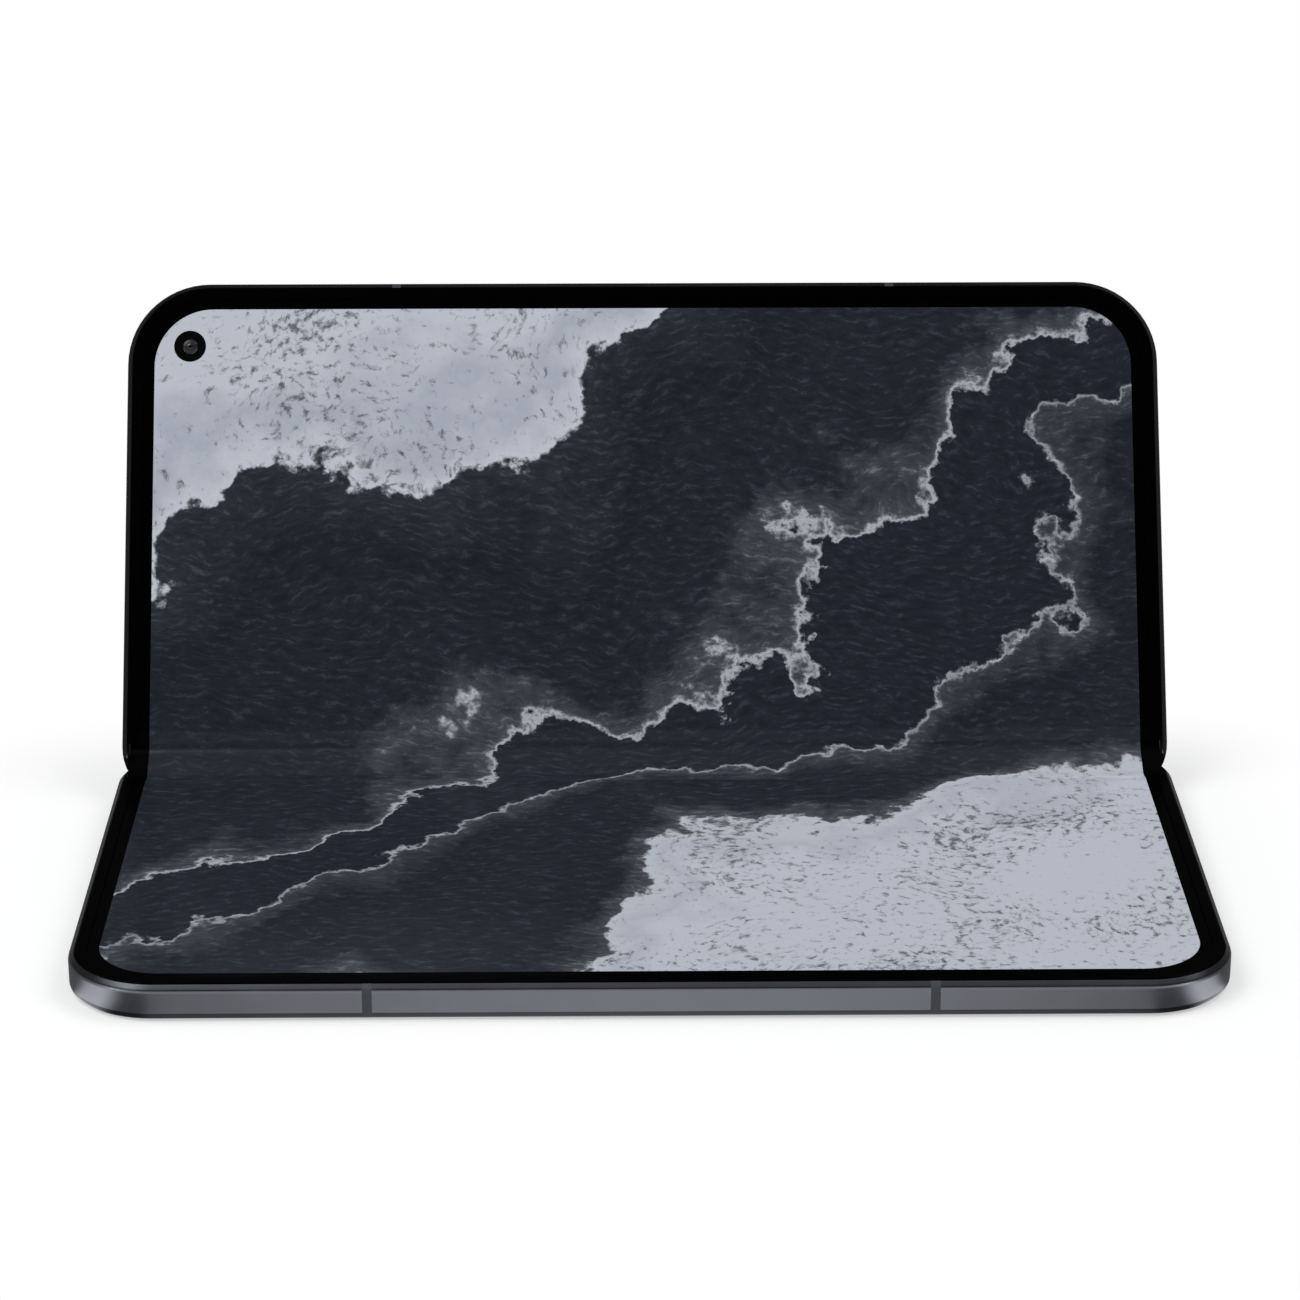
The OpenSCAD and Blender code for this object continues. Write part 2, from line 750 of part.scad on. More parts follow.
module cover_display_panel() {
    color([0.06, 0.06, 0.08]) at_base() difference() {
        upright(glass_top, panel_top) half_outline(rim_w + pocket_gap, -plate_pivot_y - pocket_gap);
        translate([cover_camera_x, usb_y, glass_top - 1]) cylinder(h = 2, r = cover_camera_r + 0.1);
    }
}

module cover_camera() {
    color([0.05, 0.05, 0.06]) at_base() translate([cover_camera_x, usb_y, glass_top])
        cylinder(h = cavity_top - glass_top, r = cover_camera_r);
}

module base_battery() {
    at_base() battery(base_battery_x);
}

module base_board() {
    at_base() board([inner_x - base_board_w, inner_x],
        [battery_y - base_board_l / 2, battery_y + base_board_l / 2]);
}

module sim_reader() {
    color([0.6, 0.6, 0.62]) at_base() difference() {
        box([inner_x - tray_l - 2 * reader_wall, inner_x],
            [tray_y - tray_w / 2 - reader_wall, tray_y + tray_w / 2 + reader_wall],
            [tray_z - tray_t / 2 - reader_wall / 2, cavity_top - board_t]);
        box([inner_x - tray_l - reader_wall / 2, inner_x + 1],
            [tray_y - tray_w / 2 - slot_gap, tray_y + tray_w / 2 + slot_gap],
            [tray_z - tray_t / 2 - slot_gap, tray_z + tray_t / 2 + slot_gap]);
    }
}

module sim_tray() {
    color([0.3, 0.31, 0.34]) at_base() difference() {
        union() {
            box([inner_x - tray_l, half_x - 0.1], [tray_y - tray_w / 2, tray_y + tray_w / 2],
                [tray_z - tray_t / 2, tray_z + tray_t / 2]);
            translate([0, tray_y, tray_z]) along_x(half_x - tray_head_t, half_x)
                stadium(tray_head_w, tray_head_h);
        }
        // Pocket for the card, and the hole for the ejector pin
        box([inner_x - tray_l + tray_rim, inner_x - tray_rim],
            [tray_y - tray_w / 2 + tray_rim, tray_y + tray_w / 2 - tray_rim],
            [tray_z - tray_t / 2 + tray_floor, tray_z + tray_t]);
        translate([half_x - tray_head_t - 0.1, tray_y + tray_head_w / 2 - 4 * ejector_r, tray_z])
            rotate([0, 90, 0]) cylinder(h = tray_head_t + 1, r = ejector_r, $fn = 32);
    }
}

module vibration_motor() {
    color([0.55, 0.55, 0.57]) at_base() box([motor_x, motor_x + motor_w],
        [motor_y, motor_y + motor_w], [pocket_floor, cavity_top]);
}

module base_speaker() {
    at_base() speaker_box(-1, base_speaker_y);
}

module base_speaker_mesh() {
    at_base() speaker_mesh_plate(-1, base_speaker_y);
}

module base_magnets() {
    at_base() magnets();
}

module base_hinge_arms() {
    at_base() hinge_arms();
}

module base_hinge_shafts() {
    at_base() hinge_shafts();
}

module base_gears() {
    color([0.7, 0.62, 0.4]) at_base() gear_pair(-axis_y, half_teeth, base_gear_phase, shaft_r);
}

module base_arm_screws() {
    at_base() arm_screws();
}

module base_support_plate() {
    at_base() support_plate();
}

// ---- Lid half ----

// A button's slot, stem and flange share this drawing in x and z
module button_face(x, l, grow_l, grow_h) {
    translate([x, button_z]) stadium(l + 2 * grow_l, button_h + 2 * grow_h);
}

module button(x, l, flange_l) {
    color([0.32, 0.33, 0.36]) {
        along_y(-half_d - button_proud, flange_gap - inner_y + 0.01) button_face(x, l, 0, 0);
        along_y(flange_gap - inner_y, flange_gap + flange_t - inner_y)
            button_face(x, flange_l, 0, flange_lap);
    }
}

module lid_frame() {
    color([0.3, 0.31, 0.34]) at_lid_half() difference() {
        half_frame();
        antenna_slots();
        speaker_slot(1, lid_speaker_y);
        along_y(-body_w, 1 - inner_y) button_face(power_x, power_l, slot_gap, slot_gap);
        along_y(-body_w, 1 - inner_y) button_face(volume_x, volume_l, slot_gap, slot_gap);
        // Opening for the socket
        translate([0, usb_y, usb_z]) along_x(inner_x - 1, body_w)
            stadium(usb_w + 2 * usb_wall, usb_h + 2 * usb_wall);
        // Inner camera
        translate([selfie_x, selfie_y, cavity_top - 1]) cylinder(h = thick, r = punch_r);
        // Microphone hole
        translate([-half_x - 1, lid_mic_y, button_z]) rotate([0, 90, 0])
            cylinder(h = rim_w + 2, r = mic_r, $fn = 32);
    }
}

module lid_antenna_bands() {
    at_lid_half() antenna_bands();
}

module lid_bezel_trim() {
    at_lid_half() bezel_trim();
}

module upper_display() {
    at_lid_half() difference() {
        display_section();
        translate([selfie_x, selfie_y, -2 * film_t]) cylinder(h = 4 * film_t, r = punch_r);
    }
}

module selfie_camera() {
    color([0.02, 0.02, 0.025]) at_lid_half() translate([selfie_x, selfie_y, 0]) difference() {
        union() {
            translate([0, 0, selfie_bottom + 0.3])
                cylinder(h = selfie_top - selfie_bottom - 0.3, r = punch_r - seat_gap);
            translate([0, 0, selfie_bottom]) cylinder(h = 0.4, r = punch_r - 0.4);
        }
        translate([0, 0, selfie_top - 0.2]) cylinder(h = 1, r = selfie_lens_r);
    }
}

module island_outline(inset) {
    x = island_w / 2 - inset;
    y = island_l / 2 - inset;
    r = island_r - inset;
    translate([island_x, island_y]) {
        square([2 * (x - r), 2 * y], center = true);
        square([2 * x, 2 * (y - r)], center = true);
        for (sx = [-1, 1], sy = [-1, 1]) {
            translate([sx * (x - r), sy * (y - r)]) circle(r);
        }
    }
}

module at_lenses() {
    for (i = [-1:1]) {
        translate([island_x + lens_shift, island_y + i * lens_pitch, 0]) children();
    }
}

module back_glass() {
    color([0.24, 0.25, 0.28]) at_lid_half() difference() {
        outer_glass();
        upright(-2 * thick, 0) island_outline(island_land);
    }
}

module camera_island() {
    color([0.27, 0.28, 0.31]) at_lid_half() difference() {
        union() {
            upright(-thick - island_h + island_step, -thick) island_outline(0);
            upright(-thick - island_h, -thick) island_outline(island_step);
            upright(-thick - 0.01, glass_top) island_outline(island_land + seat_gap);
        }
        at_lenses() {
            translate([0, 0, -2 * thick]) cylinder(h = 2 * thick, r = barrel_r + 0.2);
            translate([0, 0, -2 * thick]) cylinder(h = thick - island_h + lens_t, r = lens_r + seat_gap);
        }
        translate([island_x + lamp_dx, island_y + lens_pitch / 2, -thick - island_h - 1])
            cylinder(h = 1 + lamp_t, r = flash_r + seat_gap);
    }
}

module camera_lenses() {
    color([0.04, 0.04, 0.06]) at_lid_half() at_lenses()
        translate([0, 0, -thick - island_h]) cylinder(h = lens_t, r = lens_r);
}

module rear_cameras() {
    color([0.12, 0.12, 0.13]) at_lid_half() at_lenses() {
        translate([-camera_w / 2, -camera_w / 2, glass_top + seat_gap])
            cube([camera_w, camera_w, cavity_top - glass_top - seat_gap]);
        // Barrel, with the lens group set back behind its cover
        difference() {
            translate([0, 0, -thick - island_h + lens_t + seat_gap])
                cylinder(h = thick + island_h - 2, r = barrel_r);
            translate([0, 0, -thick - island_h]) cylinder(h = lens_t + 0.75, r = 0.65 * barrel_r);
        }
    }
}

module flash_lamp() {
    color([0.9, 0.85, 0.6]) at_lid_half()
        translate([island_x + lamp_dx, island_y + lens_pitch / 2, -thick - island_h])
            cylinder(h = lamp_t, r = flash_r);
}

module main_board() {
    at_lid_half() difference() {
        board([-inner_x, main_board_w - inner_x], [magnet_t + pocket_gap - inner_y, board_end]);
        at_lenses() cube([camera_w + pocket_gap, camera_w + pocket_gap, thick], center = true);
        translate([selfie_x, selfie_y, -thick]) cylinder(h = thick, r = punch_r + pocket_gap / 2);
    }
}

module shield_cans() {
    color([0.66, 0.66, 0.68]) at_lid_half() {
        for (y = [[island_y + can_gap, board_end - can_edge], [can_edge - inner_y, island_y - can_gap]]) {
            box([can_x, can_x + can_w], y, [cavity_top - board_t - can_h, cavity_top - board_t]);
        }
    }
}

module lid_battery() {
    at_lid_half() battery(lid_battery_x);
}

module charging_coil() {
    color([0.72, 0.4, 0.2]) at_lid_half()
        translate([lid_battery_x, battery_y, cavity_top - battery_t - coil_t]) difference() {
            cylinder(h = coil_t, r = coil_r);
            translate([0, 0, -1]) cylinder(h = 2 + coil_t, r = coil_bore_r);
        }
}

module power_button() {
    at_lid_half() button(power_x, power_l, power_l + 1.2);
}

module volume_rocker() {
    at_lid_half() {
        button(volume_x, volume_l, volume_l / 2);
        // Rib on which the rocker turns, along the phone's thickness
        color([0.32, 0.33, 0.36]) translate([volume_x, flange_gap + flange_t - inner_y, button_z])
            cylinder(h = button_h, r = rocker_rib_r, center = true, $fn = 32);
    }
}

module button_switches() {
    color([0.5, 0.42, 0.2]) at_lid_half()
        box([power_x - power_l / 2 - 1.5, volume_x + volume_l / 2], [switch_y, switch_y + 0.6],
            [pocket_floor, cavity_top]);
}

module usb_c_port() {
    color([0.7, 0.7, 0.72]) at_lid_half() translate([0, usb_y, usb_z]) difference() {
        along_x(half_x - usb_depth - 2 * usb_wall, half_x - 0.15)
            stadium(usb_w + 2 * usb_wall, usb_h + 2 * usb_wall);
        along_x(half_x - usb_depth, body_w) stadium(usb_w, usb_h);
    }
}

module usb_c_tongue() {
    color([0.08, 0.08, 0.09]) at_lid_half() translate([0, usb_y, usb_z])
        box([half_x - usb_depth, half_x - 0.9], [-tongue_w / 2, tongue_w / 2], [-tongue_t / 2, tongue_t / 2]);
}

module lid_speaker() {
    at_lid_half() speaker_box(1, lid_speaker_y);
}

module lid_speaker_mesh() {
    at_lid_half() speaker_mesh_plate(1, lid_speaker_y);
}

module lid_magnets() {
    at_lid_half() magnets();
}

module lid_hinge_arms() {
    at_lid_half() hinge_arms();
}

module lid_hinge_shafts() {
    at_lid_half() hinge_shafts();
}

module lid_gears() {
    color([0.7, 0.62, 0.4]) at_lid() gear_pair(axis_y, half_teeth, lid_gear_phase, shaft_r);
}

module lid_arm_screws() {
    at_lid_half() arm_screws();
}

module lid_support_plate() {
    at_lid_half() support_plate();
}

// ---- Spine ----

module spine_profile(r) {
    pair_of_axes(r);
    translate([-axis_y, -axis_depth - r]) square([2 * axis_y, r]);
}

module spine_cover() {
    color([0.28, 0.29, 0.32]) at_spine() along_x(cap_t - cap_x, cap_x - cap_t) difference() {
        spine_profile(spine_r);
        spine_profile(spine_in_r);
        translate([-thick, spine_edge_z]) square([2 * thick, thick]);
    }
}

module spine_end_caps() {
    color([0.03, 0.03, 0.035]) at_spine() both_sides_same(cap_x - cap_t, cap_x) {
        intersection() {
            union() {
                pair_of_axes(spine_r);
                translate([-axis_y, -axis_depth - spine_r]) square([2 * axis_y, axis_depth + spine_r]);
            }
            translate([-thick, -thick]) square([2 * thick, thick + plate_top]);
        }
    }
}

module ear_profile() {
    pair_of_axes(knuckle_r);
    translate([-axis_y, -axis_depth - knuckle_r]) square([2 * axis_y, knuckle_r]);
    translate([-middle_plate_y, -axis_depth - spine_in_r])
        square([2 * middle_plate_y, plate_top - plate_t + axis_depth + spine_in_r]);
}

module shaft_bores() {
    pair_of_axes(shaft_r + running_gap, $fn = 48);
    for (side = [-1, 1]) {
        translate([side * idler_r, -axis_depth]) circle(idler_pin_r, $fn = 32);
    }
}

module bracket() {
    for (x = [[ear_x, ear_x + ear_w], [outer_ear_x, outer_ear_x + ear_w]]) {
        along_x(x[0], x[1]) difference() {
            ear_profile();
            shaft_bores();
        }
    }
    along_x(-ear_x - ear_w, outer_ear_x) translate([-1, -axis_depth - spine_in_r]) square([2, bracket_floor]);
    along_x(-ear_x - ear_w, -ear_x) difference() {
        ear_profile();
        pair_of_axes(shaft_r + running_gap, $fn = 48);
    }
}

module hinge_brackets() {
    color([0.55, 0.55, 0.57]) at_spine() {
        translate([module_x, 0, 0]) bracket();
        mirror([1, 0, 0]) translate([module_x, 0, 0]) bracket();
        bracket();
    }
}

module idler_pins() {
    color([0.75, 0.75, 0.77]) at_spine() for (side = [-1, 1]) {
        both_sides_same(module_x + ear_x, module_x + outer_ear_x + ear_w)
            translate([side * idler_r, -axis_depth]) circle(idler_pin_r, $fn = 32);
    }
}

module front_idlers() {
    color([0.7, 0.62, 0.4]) at_spine()
        gear_pair(-idler_r, idler_teeth, front_idler_phase, idler_pin_r + running_gap);
}

module rear_idlers() {
    color([0.7, 0.62, 0.4]) at_spine()
        gear_pair(idler_r, idler_teeth, rear_idler_phase, idler_pin_r + running_gap);
}

module disc_springs() {
    color([0.6, 0.6, 0.62]) at_spine() for (i = [0:spring_turns - 1]) {
        along_x(gear_x + i * gear_w / spring_turns, gear_x + (i + 0.9) * gear_w / spring_turns) difference() {
            pair_of_axes(knuckle_r - 0.1, $fn = 48);
            pair_of_axes(shaft_r + running_gap, $fn = 48);
        }
    }
}

module middle_support_plate() {
    color([0.3, 0.3, 0.32]) at_spine()
        box([-plate_x, plate_x], [-middle_plate_y, middle_plate_y], [plate_top - plate_t, plate_top]);
}

module fold_display() {
    color([0.13, 0.14, 0.17]) at_spine() translate([-cap_x, 0, fold_r]) rotate([0, 90, 0])
        rotate([0, 0, -tilt]) rotate_extrude(angle = 2 * tilt, $fn = 240)
            translate([fold_r, 0]) square([film_t, 2 * cap_x]);
}

// Left half of a ribbon that runs through the hinge and bends at the shaft's axis
function flex_side() =
    let (
        reach = flex_end - axis_y,
        half_t = flex_t / 2,
        along = [-cos(tilt), sin(tilt)],
        across = [sin(tilt), cos(tilt)],
        axis = [-axis_y, -axis_depth],
        bend = [half_t * tan(tilt / 2), half_t]
    )
    [axis - bend, axis + reach * along - half_t * across, axis + reach * along + half_t * across,
        axis + bend];

module hinge_flexes() {
    left = flex_side();
    right = [for (i = [3:-1:0]) [-left[i][0], left[i][1]]];
    color([0.45, 0.25, 0.08]) at_spine()
        both_sides_same(flex_x - flex_w / 2, flex_x + flex_w / 2) polygon(concat(left, right));
}

base_frame();
base_antenna_bands();
base_bezel_trim();
lower_display();
cover_glass();
cover_display_panel();
cover_camera();
base_battery();
base_board();
sim_reader();
sim_tray();
vibration_motor();
base_speaker();
base_speaker_mesh();
base_magnets();
base_hinge_arms();
base_hinge_shafts();
base_gears();
base_arm_screws();
base_support_plate();
lid_frame();
lid_antenna_bands();
lid_bezel_trim();
upper_display();
back_glass();
camera_island();
rear_cameras();
camera_lenses();
flash_lamp();
selfie_camera();
main_board();
shield_cans();
lid_battery();
charging_coil();
power_button();
volume_rocker();
button_switches();
usb_c_port();
usb_c_tongue();
lid_speaker();
lid_speaker_mesh();
lid_magnets();
lid_hinge_arms();
lid_hinge_shafts();
lid_gears();
lid_arm_screws();
lid_support_plate();
spine_cover();
spine_end_caps();
hinge_brackets();
idler_pins();
front_idlers();
rear_idlers();
disc_springs();
middle_support_plate();
fold_display();
hinge_flexes();
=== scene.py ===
import json
from math import pi, radians

import bpy
from mathutils import Matrix, Vector


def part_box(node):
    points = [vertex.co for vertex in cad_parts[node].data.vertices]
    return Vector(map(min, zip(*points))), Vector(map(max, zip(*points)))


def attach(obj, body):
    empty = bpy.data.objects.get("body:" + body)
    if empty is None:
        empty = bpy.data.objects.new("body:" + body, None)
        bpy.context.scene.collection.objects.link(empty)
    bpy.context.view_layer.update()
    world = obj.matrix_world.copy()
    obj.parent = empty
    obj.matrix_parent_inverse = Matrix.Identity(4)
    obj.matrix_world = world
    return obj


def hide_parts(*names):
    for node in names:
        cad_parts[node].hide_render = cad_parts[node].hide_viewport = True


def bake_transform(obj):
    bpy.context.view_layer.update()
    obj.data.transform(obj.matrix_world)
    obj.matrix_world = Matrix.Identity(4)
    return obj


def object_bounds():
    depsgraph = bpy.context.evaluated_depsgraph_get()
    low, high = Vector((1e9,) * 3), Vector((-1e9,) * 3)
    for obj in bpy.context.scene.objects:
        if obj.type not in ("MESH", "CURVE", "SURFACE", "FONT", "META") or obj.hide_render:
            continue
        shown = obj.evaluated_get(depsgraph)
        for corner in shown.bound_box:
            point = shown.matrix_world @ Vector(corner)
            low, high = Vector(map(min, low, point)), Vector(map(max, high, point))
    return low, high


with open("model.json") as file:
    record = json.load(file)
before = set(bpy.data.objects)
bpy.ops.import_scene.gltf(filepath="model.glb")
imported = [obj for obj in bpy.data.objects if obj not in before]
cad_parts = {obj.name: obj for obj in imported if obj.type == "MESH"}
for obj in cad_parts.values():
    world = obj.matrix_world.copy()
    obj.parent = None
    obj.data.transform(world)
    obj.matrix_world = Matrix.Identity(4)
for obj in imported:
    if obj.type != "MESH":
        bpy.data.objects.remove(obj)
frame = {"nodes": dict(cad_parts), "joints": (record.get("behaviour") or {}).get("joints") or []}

cad_low, cad_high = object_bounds()
mm = 0.001

# ---- Camera ----
# A long lens in front of the phone, above the table and a touch to the left, as the photograph
# was taken. Its place was worked out from the corners and the fold of the phone in the picture.
camera_data = bpy.data.cameras.new("photo_camera")
camera_data.sensor_width = 36.0
camera_data.lens = 108.2
camera_data.clip_start = 0.01
camera_data.clip_end = 50.0
camera = bpy.data.objects.new("photo_camera", camera_data)
camera.location = (-5.5 * mm, -497.4 * mm, 229.4 * mm)
camera.rotation_euler = (radians(90.0 - 21.10), 0.0, radians(-0.66))
bpy.context.scene.collection.objects.link(camera)
bpy.context.scene.camera = camera
bpy.context.scene.view_settings.view_transform = "Standard"

# ---- Table and backdrop ----
# A pale table top that runs out of sight, in a white room with a dark ceiling. It glows white away
# from the phone and keeps its shadow near it. Glossy rays alone see painted reflections on it: dark
# bands and a bright highlight band round the phone's front corners, painted shade in a slow fade
# along its front, and painted shade beside its sides.
bpy.ops.mesh.primitive_plane_add(size=8.0, location=(0.0, 0.0, 0.0))
table_top = bpy.context.object
table_top.name = "table_top"


def maths(operation, *values):
    """A maths node of the material in hand, fed by sockets or numbers."""
    node = nodes.new("ShaderNodeMath")
    node.operation = operation
    for socket, value in zip(node.inputs, values):
        if isinstance(value, bpy.types.NodeSocket):
            links.new(value, socket)
        else:
            socket.default_value = value
    return node.outputs[0]


def mapped(value, low, high, to_low, to_high):
    """A socket's range from low to high, eased into another range and held at its ends."""
    node = nodes.new("ShaderNodeMapRange")
    node.interpolation_type = "SMOOTHSTEP"
    links.new(value, node.inputs["Value"])
    node.inputs["From Min"].default_value = low
    node.inputs["From Max"].default_value = high
    node.inputs["To Min"].default_value = to_low
    node.inputs["To Max"].default_value = to_high
    return node.outputs[0]


def shades_of(value, stops):
    """A grey scale over a value: each stop is a place from 0 to 1 and a brightness."""
    node = nodes.new("ShaderNodeValToRGB")
    ramp = node.color_ramp
    ramp.interpolation = "EASE"
    while len(ramp.elements) < len(stops):
        ramp.elements.new(0.5)
    for element, (position, _) in zip(ramp.elements, stops):
        element.position = position
    for element, (_, shade) in zip(ramp.elements, stops):
        element.color = (shade, shade, shade, 1.0)
    links.new(value, node.inputs["Fac"])
    return node.outputs["Color"]


def seen_directly(rays):
    """1 for camera, glossy and transmission rays, which show the white room."""
    sight = maths("MAXIMUM", rays["Is Camera Ray"], rays["Is Glossy Ray"])
    return maths("MAXIMUM", sight, rays["Is Transmission Ray"])


table_paint = bpy.data.materials.new("table_paint")
table_paint.use_nodes = True
nodes, links = table_paint.node_tree.nodes, table_paint.node_tree.links
nodes.remove(nodes["Principled BSDF"])
matt = nodes.new("ShaderNodeBsdfDiffuse")
matt.inputs["Color"].default_value = (0.86, 0.86, 0.86, 1.0)
white = nodes.new("ShaderNodeEmission")
rays = nodes.new("ShaderNodeLightPath").outputs

# How far a point of the table is from the phone, and where it turns white
white_near, white_reach = 0.45, 35.0 * mm
table_place = nodes.new("ShaderNodeTexCoord")
table_xyz = nodes.new("ShaderNodeSeparateXYZ")
links.new(table_place.outputs["Object"], table_xyz.inputs[0])
table_x = maths("ABSOLUTE", table_xyz.outputs["X"])
table_y = table_xyz.outputs["Y"]
past_side = maths("MAXIMUM", maths("SUBTRACT", table_x, cad_high.x), 0.0)
past_front = maths("MAXIMUM", maths("SUBTRACT", maths("ABSOLUTE", table_y), -cad_low.y), 0.0)
away = maths("SQRT", maths("ADD", maths("POWER", past_side, 2.0), maths("POWER", past_front, 2.0)))
whiteness = mapped(away, 0.0, white_reach, white_near, 1.0)

# Painted reflections round each front corner, by the angle about it, 0 in front and 0.5 beside it:
# dark bands, then a bright band that paints a highlight down the metal corner
corner_r = 12.3 * mm
corner_x = maths("MAXIMUM", maths("SUBTRACT", table_x, cad_high.x - corner_r), 0.0)
corner_y = maths("SUBTRACT", cad_low.y + corner_r, table_y)
corner_turn = maths("DIVIDE", maths("ARCTAN2", corner_x, corner_y), pi)
painted_corner_reflections = shades_of(corner_turn, (
    (0.0, 0.236), (0.06, 0.075), (0.15, 0.065), (0.26, 1.0), (0.34, 0.85), (0.43, 0.09), (1.0, 0.06)))

# Painted shade in the reflections: a fade along the front, from the phone's middle to its corners
painted_front_fade = shades_of(maths("DIVIDE", table_x, cad_high.x), (
    (0.0, 1.0), (0.30, 0.93), (0.60, 0.78), (0.70, 0.68), (0.78, 0.60), (0.86, 0.50)))
painted_reflection_gain = 4.2
# The painted reflection: the corner bands, brightened by a gain and faded along the front
mirrored = maths("MULTIPLY", maths("MULTIPLY", painted_corner_reflections, painted_reflection_gain), painted_front_fade)

# Glossy rays see the painted reflections close to the phone, painted shade beside it, and the white
# elsewhere
painted_reflection_near, painted_reflection_far = 8.0 * mm, 40.0 * mm
painted_side_dark, side_reach = 0.85, 10.0 * mm
painted_reflection_share = maths("MULTIPLY", rays["Is Glossy Ray"], mapped(away, painted_reflection_near, painted_reflection_far, 1.0, 0.0))
# Painted shade: glossy rays see the table darker just beside the phone's sides
beside = mapped(table_x, cad_high.x, cad_high.x + side_reach, 0.0, painted_side_dark)
painted_side_shade = maths("MULTIPLY", rays["Is Glossy Ray"], beside)
strength = nodes.new("ShaderNodeMix")
links.new(painted_reflection_share, strength.inputs["Factor"])
links.new(maths("SUBTRACT", 1.0, painted_side_shade), strength.inputs["A"])
links.new(mirrored, strength.inputs["B"])
links.new(strength.outputs["Result"], white.inputs["Strength"])
white_share = maths("MAXIMUM", maths("MULTIPLY", seen_directly(rays), whiteness), painted_reflection_share)
table_mix = nodes.new("ShaderNodeMixShader")
links.new(white_share, table_mix.inputs["Fac"])
links.new(matt.outputs[0], table_mix.inputs[1])
links.new(white.outputs[0], table_mix.inputs[2])
links.new(table_mix.outputs[0], nodes["Material Output"].inputs["Surface"])
table_top.data.materials.append(table_paint)

# The room as mirrors show it: white low in front, dim behind and at the sides, dark above the
# phone, and a bright patch overhead. The camera sees it white, and its even light falls on everything.
world = bpy.data.worlds.new("white_room")
bpy.context.scene.world = world
world.use_nodes = True
nodes, links = world.node_tree.nodes, world.node_tree.links
room_light = nodes["Background"]
room_light.inputs["Color"].default_value = (0.95, 0.97, 1.0, 1.0)
room_light.inputs["Strength"].default_value = 0.45
rays = nodes.new("ShaderNodeLightPath").outputs
direction = nodes.new("ShaderNodeTexCoord")
height = nodes.new("ShaderNodeSeparateXYZ")
links.new(direction.outputs["Generated"], height.inputs[0])
ceiling = shades_of(height.outputs["Z"], (
    (0.0, 1.0), (0.42, 1.0), (0.55, 0.012), (0.74, 0.012), (0.90, 0.75)))
front_wall = mapped(height.outputs["Y"], -0.55, -0.10, 1.0, 0.16)
overhead = mapped(height.outputs["Z"], 0.60, 0.80, 0.0, 1.0)
mirrored_room = maths("MULTIPLY", ceiling, maths("MAXIMUM", front_wall, overhead))
room_seen = nodes.new("ShaderNodeBackground")
room_seen.inputs["Color"].default_value = (1.0, 1.0, 1.0, 1.0)
links.new(maths("MAXIMUM", mirrored_room, rays["Is Camera Ray"]), room_seen.inputs["Strength"])
room = nodes.new("ShaderNodeMixShader")
links.new(seen_directly(rays), room.inputs["Fac"])
links.new(room_light.outputs[0], room.inputs[1])
links.new(room_seen.outputs[0], room.inputs[2])
links.new(room.outputs[0], nodes["World Output"].inputs["Surface"])

# ---- Lamps ----
# Two soft boxes high above the phone, and a weak strip low on each side that lights its ends.
# None of them stands where the open lid would mirror it.
phone_middle = Vector((0.0, 0.02, 0.02))


def soft_box(name, place, size, power):
    """A rectangular lamp, aimed at the phone."""
    lamp_data = bpy.data.lights.new(name, "AREA")
    lamp_data.shape = "RECTANGLE"
    lamp_data.size, lamp_data.size_y = size
    lamp_data.energy = power
    lamp = bpy.data.objects.new(name, lamp_data)
    lamp.location = place
    lamp.rotation_euler = (phone_middle - lamp.location).to_track_quat("-Z", "Y").to_euler()
    bpy.context.scene.collection.objects.link(lamp)


soft_box("soft_box_left", (-0.45, -0.15, 0.80), (0.60, 0.50), 4.8)
soft_box("soft_box_right", (0.50, 0.10, 0.75), (0.50, 0.50), 3.0)
soft_box("strip_left", (-0.62, -0.42, 0.16), (0.10, 0.30), 0.5)
soft_box("strip_right", (0.62, -0.42, 0.16), (0.10, 0.30), 0.5)

# ---- Base frame ----
# The lower half's frame: aluminium, milled from one plate with its midplate, blasted with fine
# beads and anodised gunmetal grey. Its edges are rounded, so its triangles are merged to shade so.
GUNMETAL = (0.170, 0.178, 0.200)


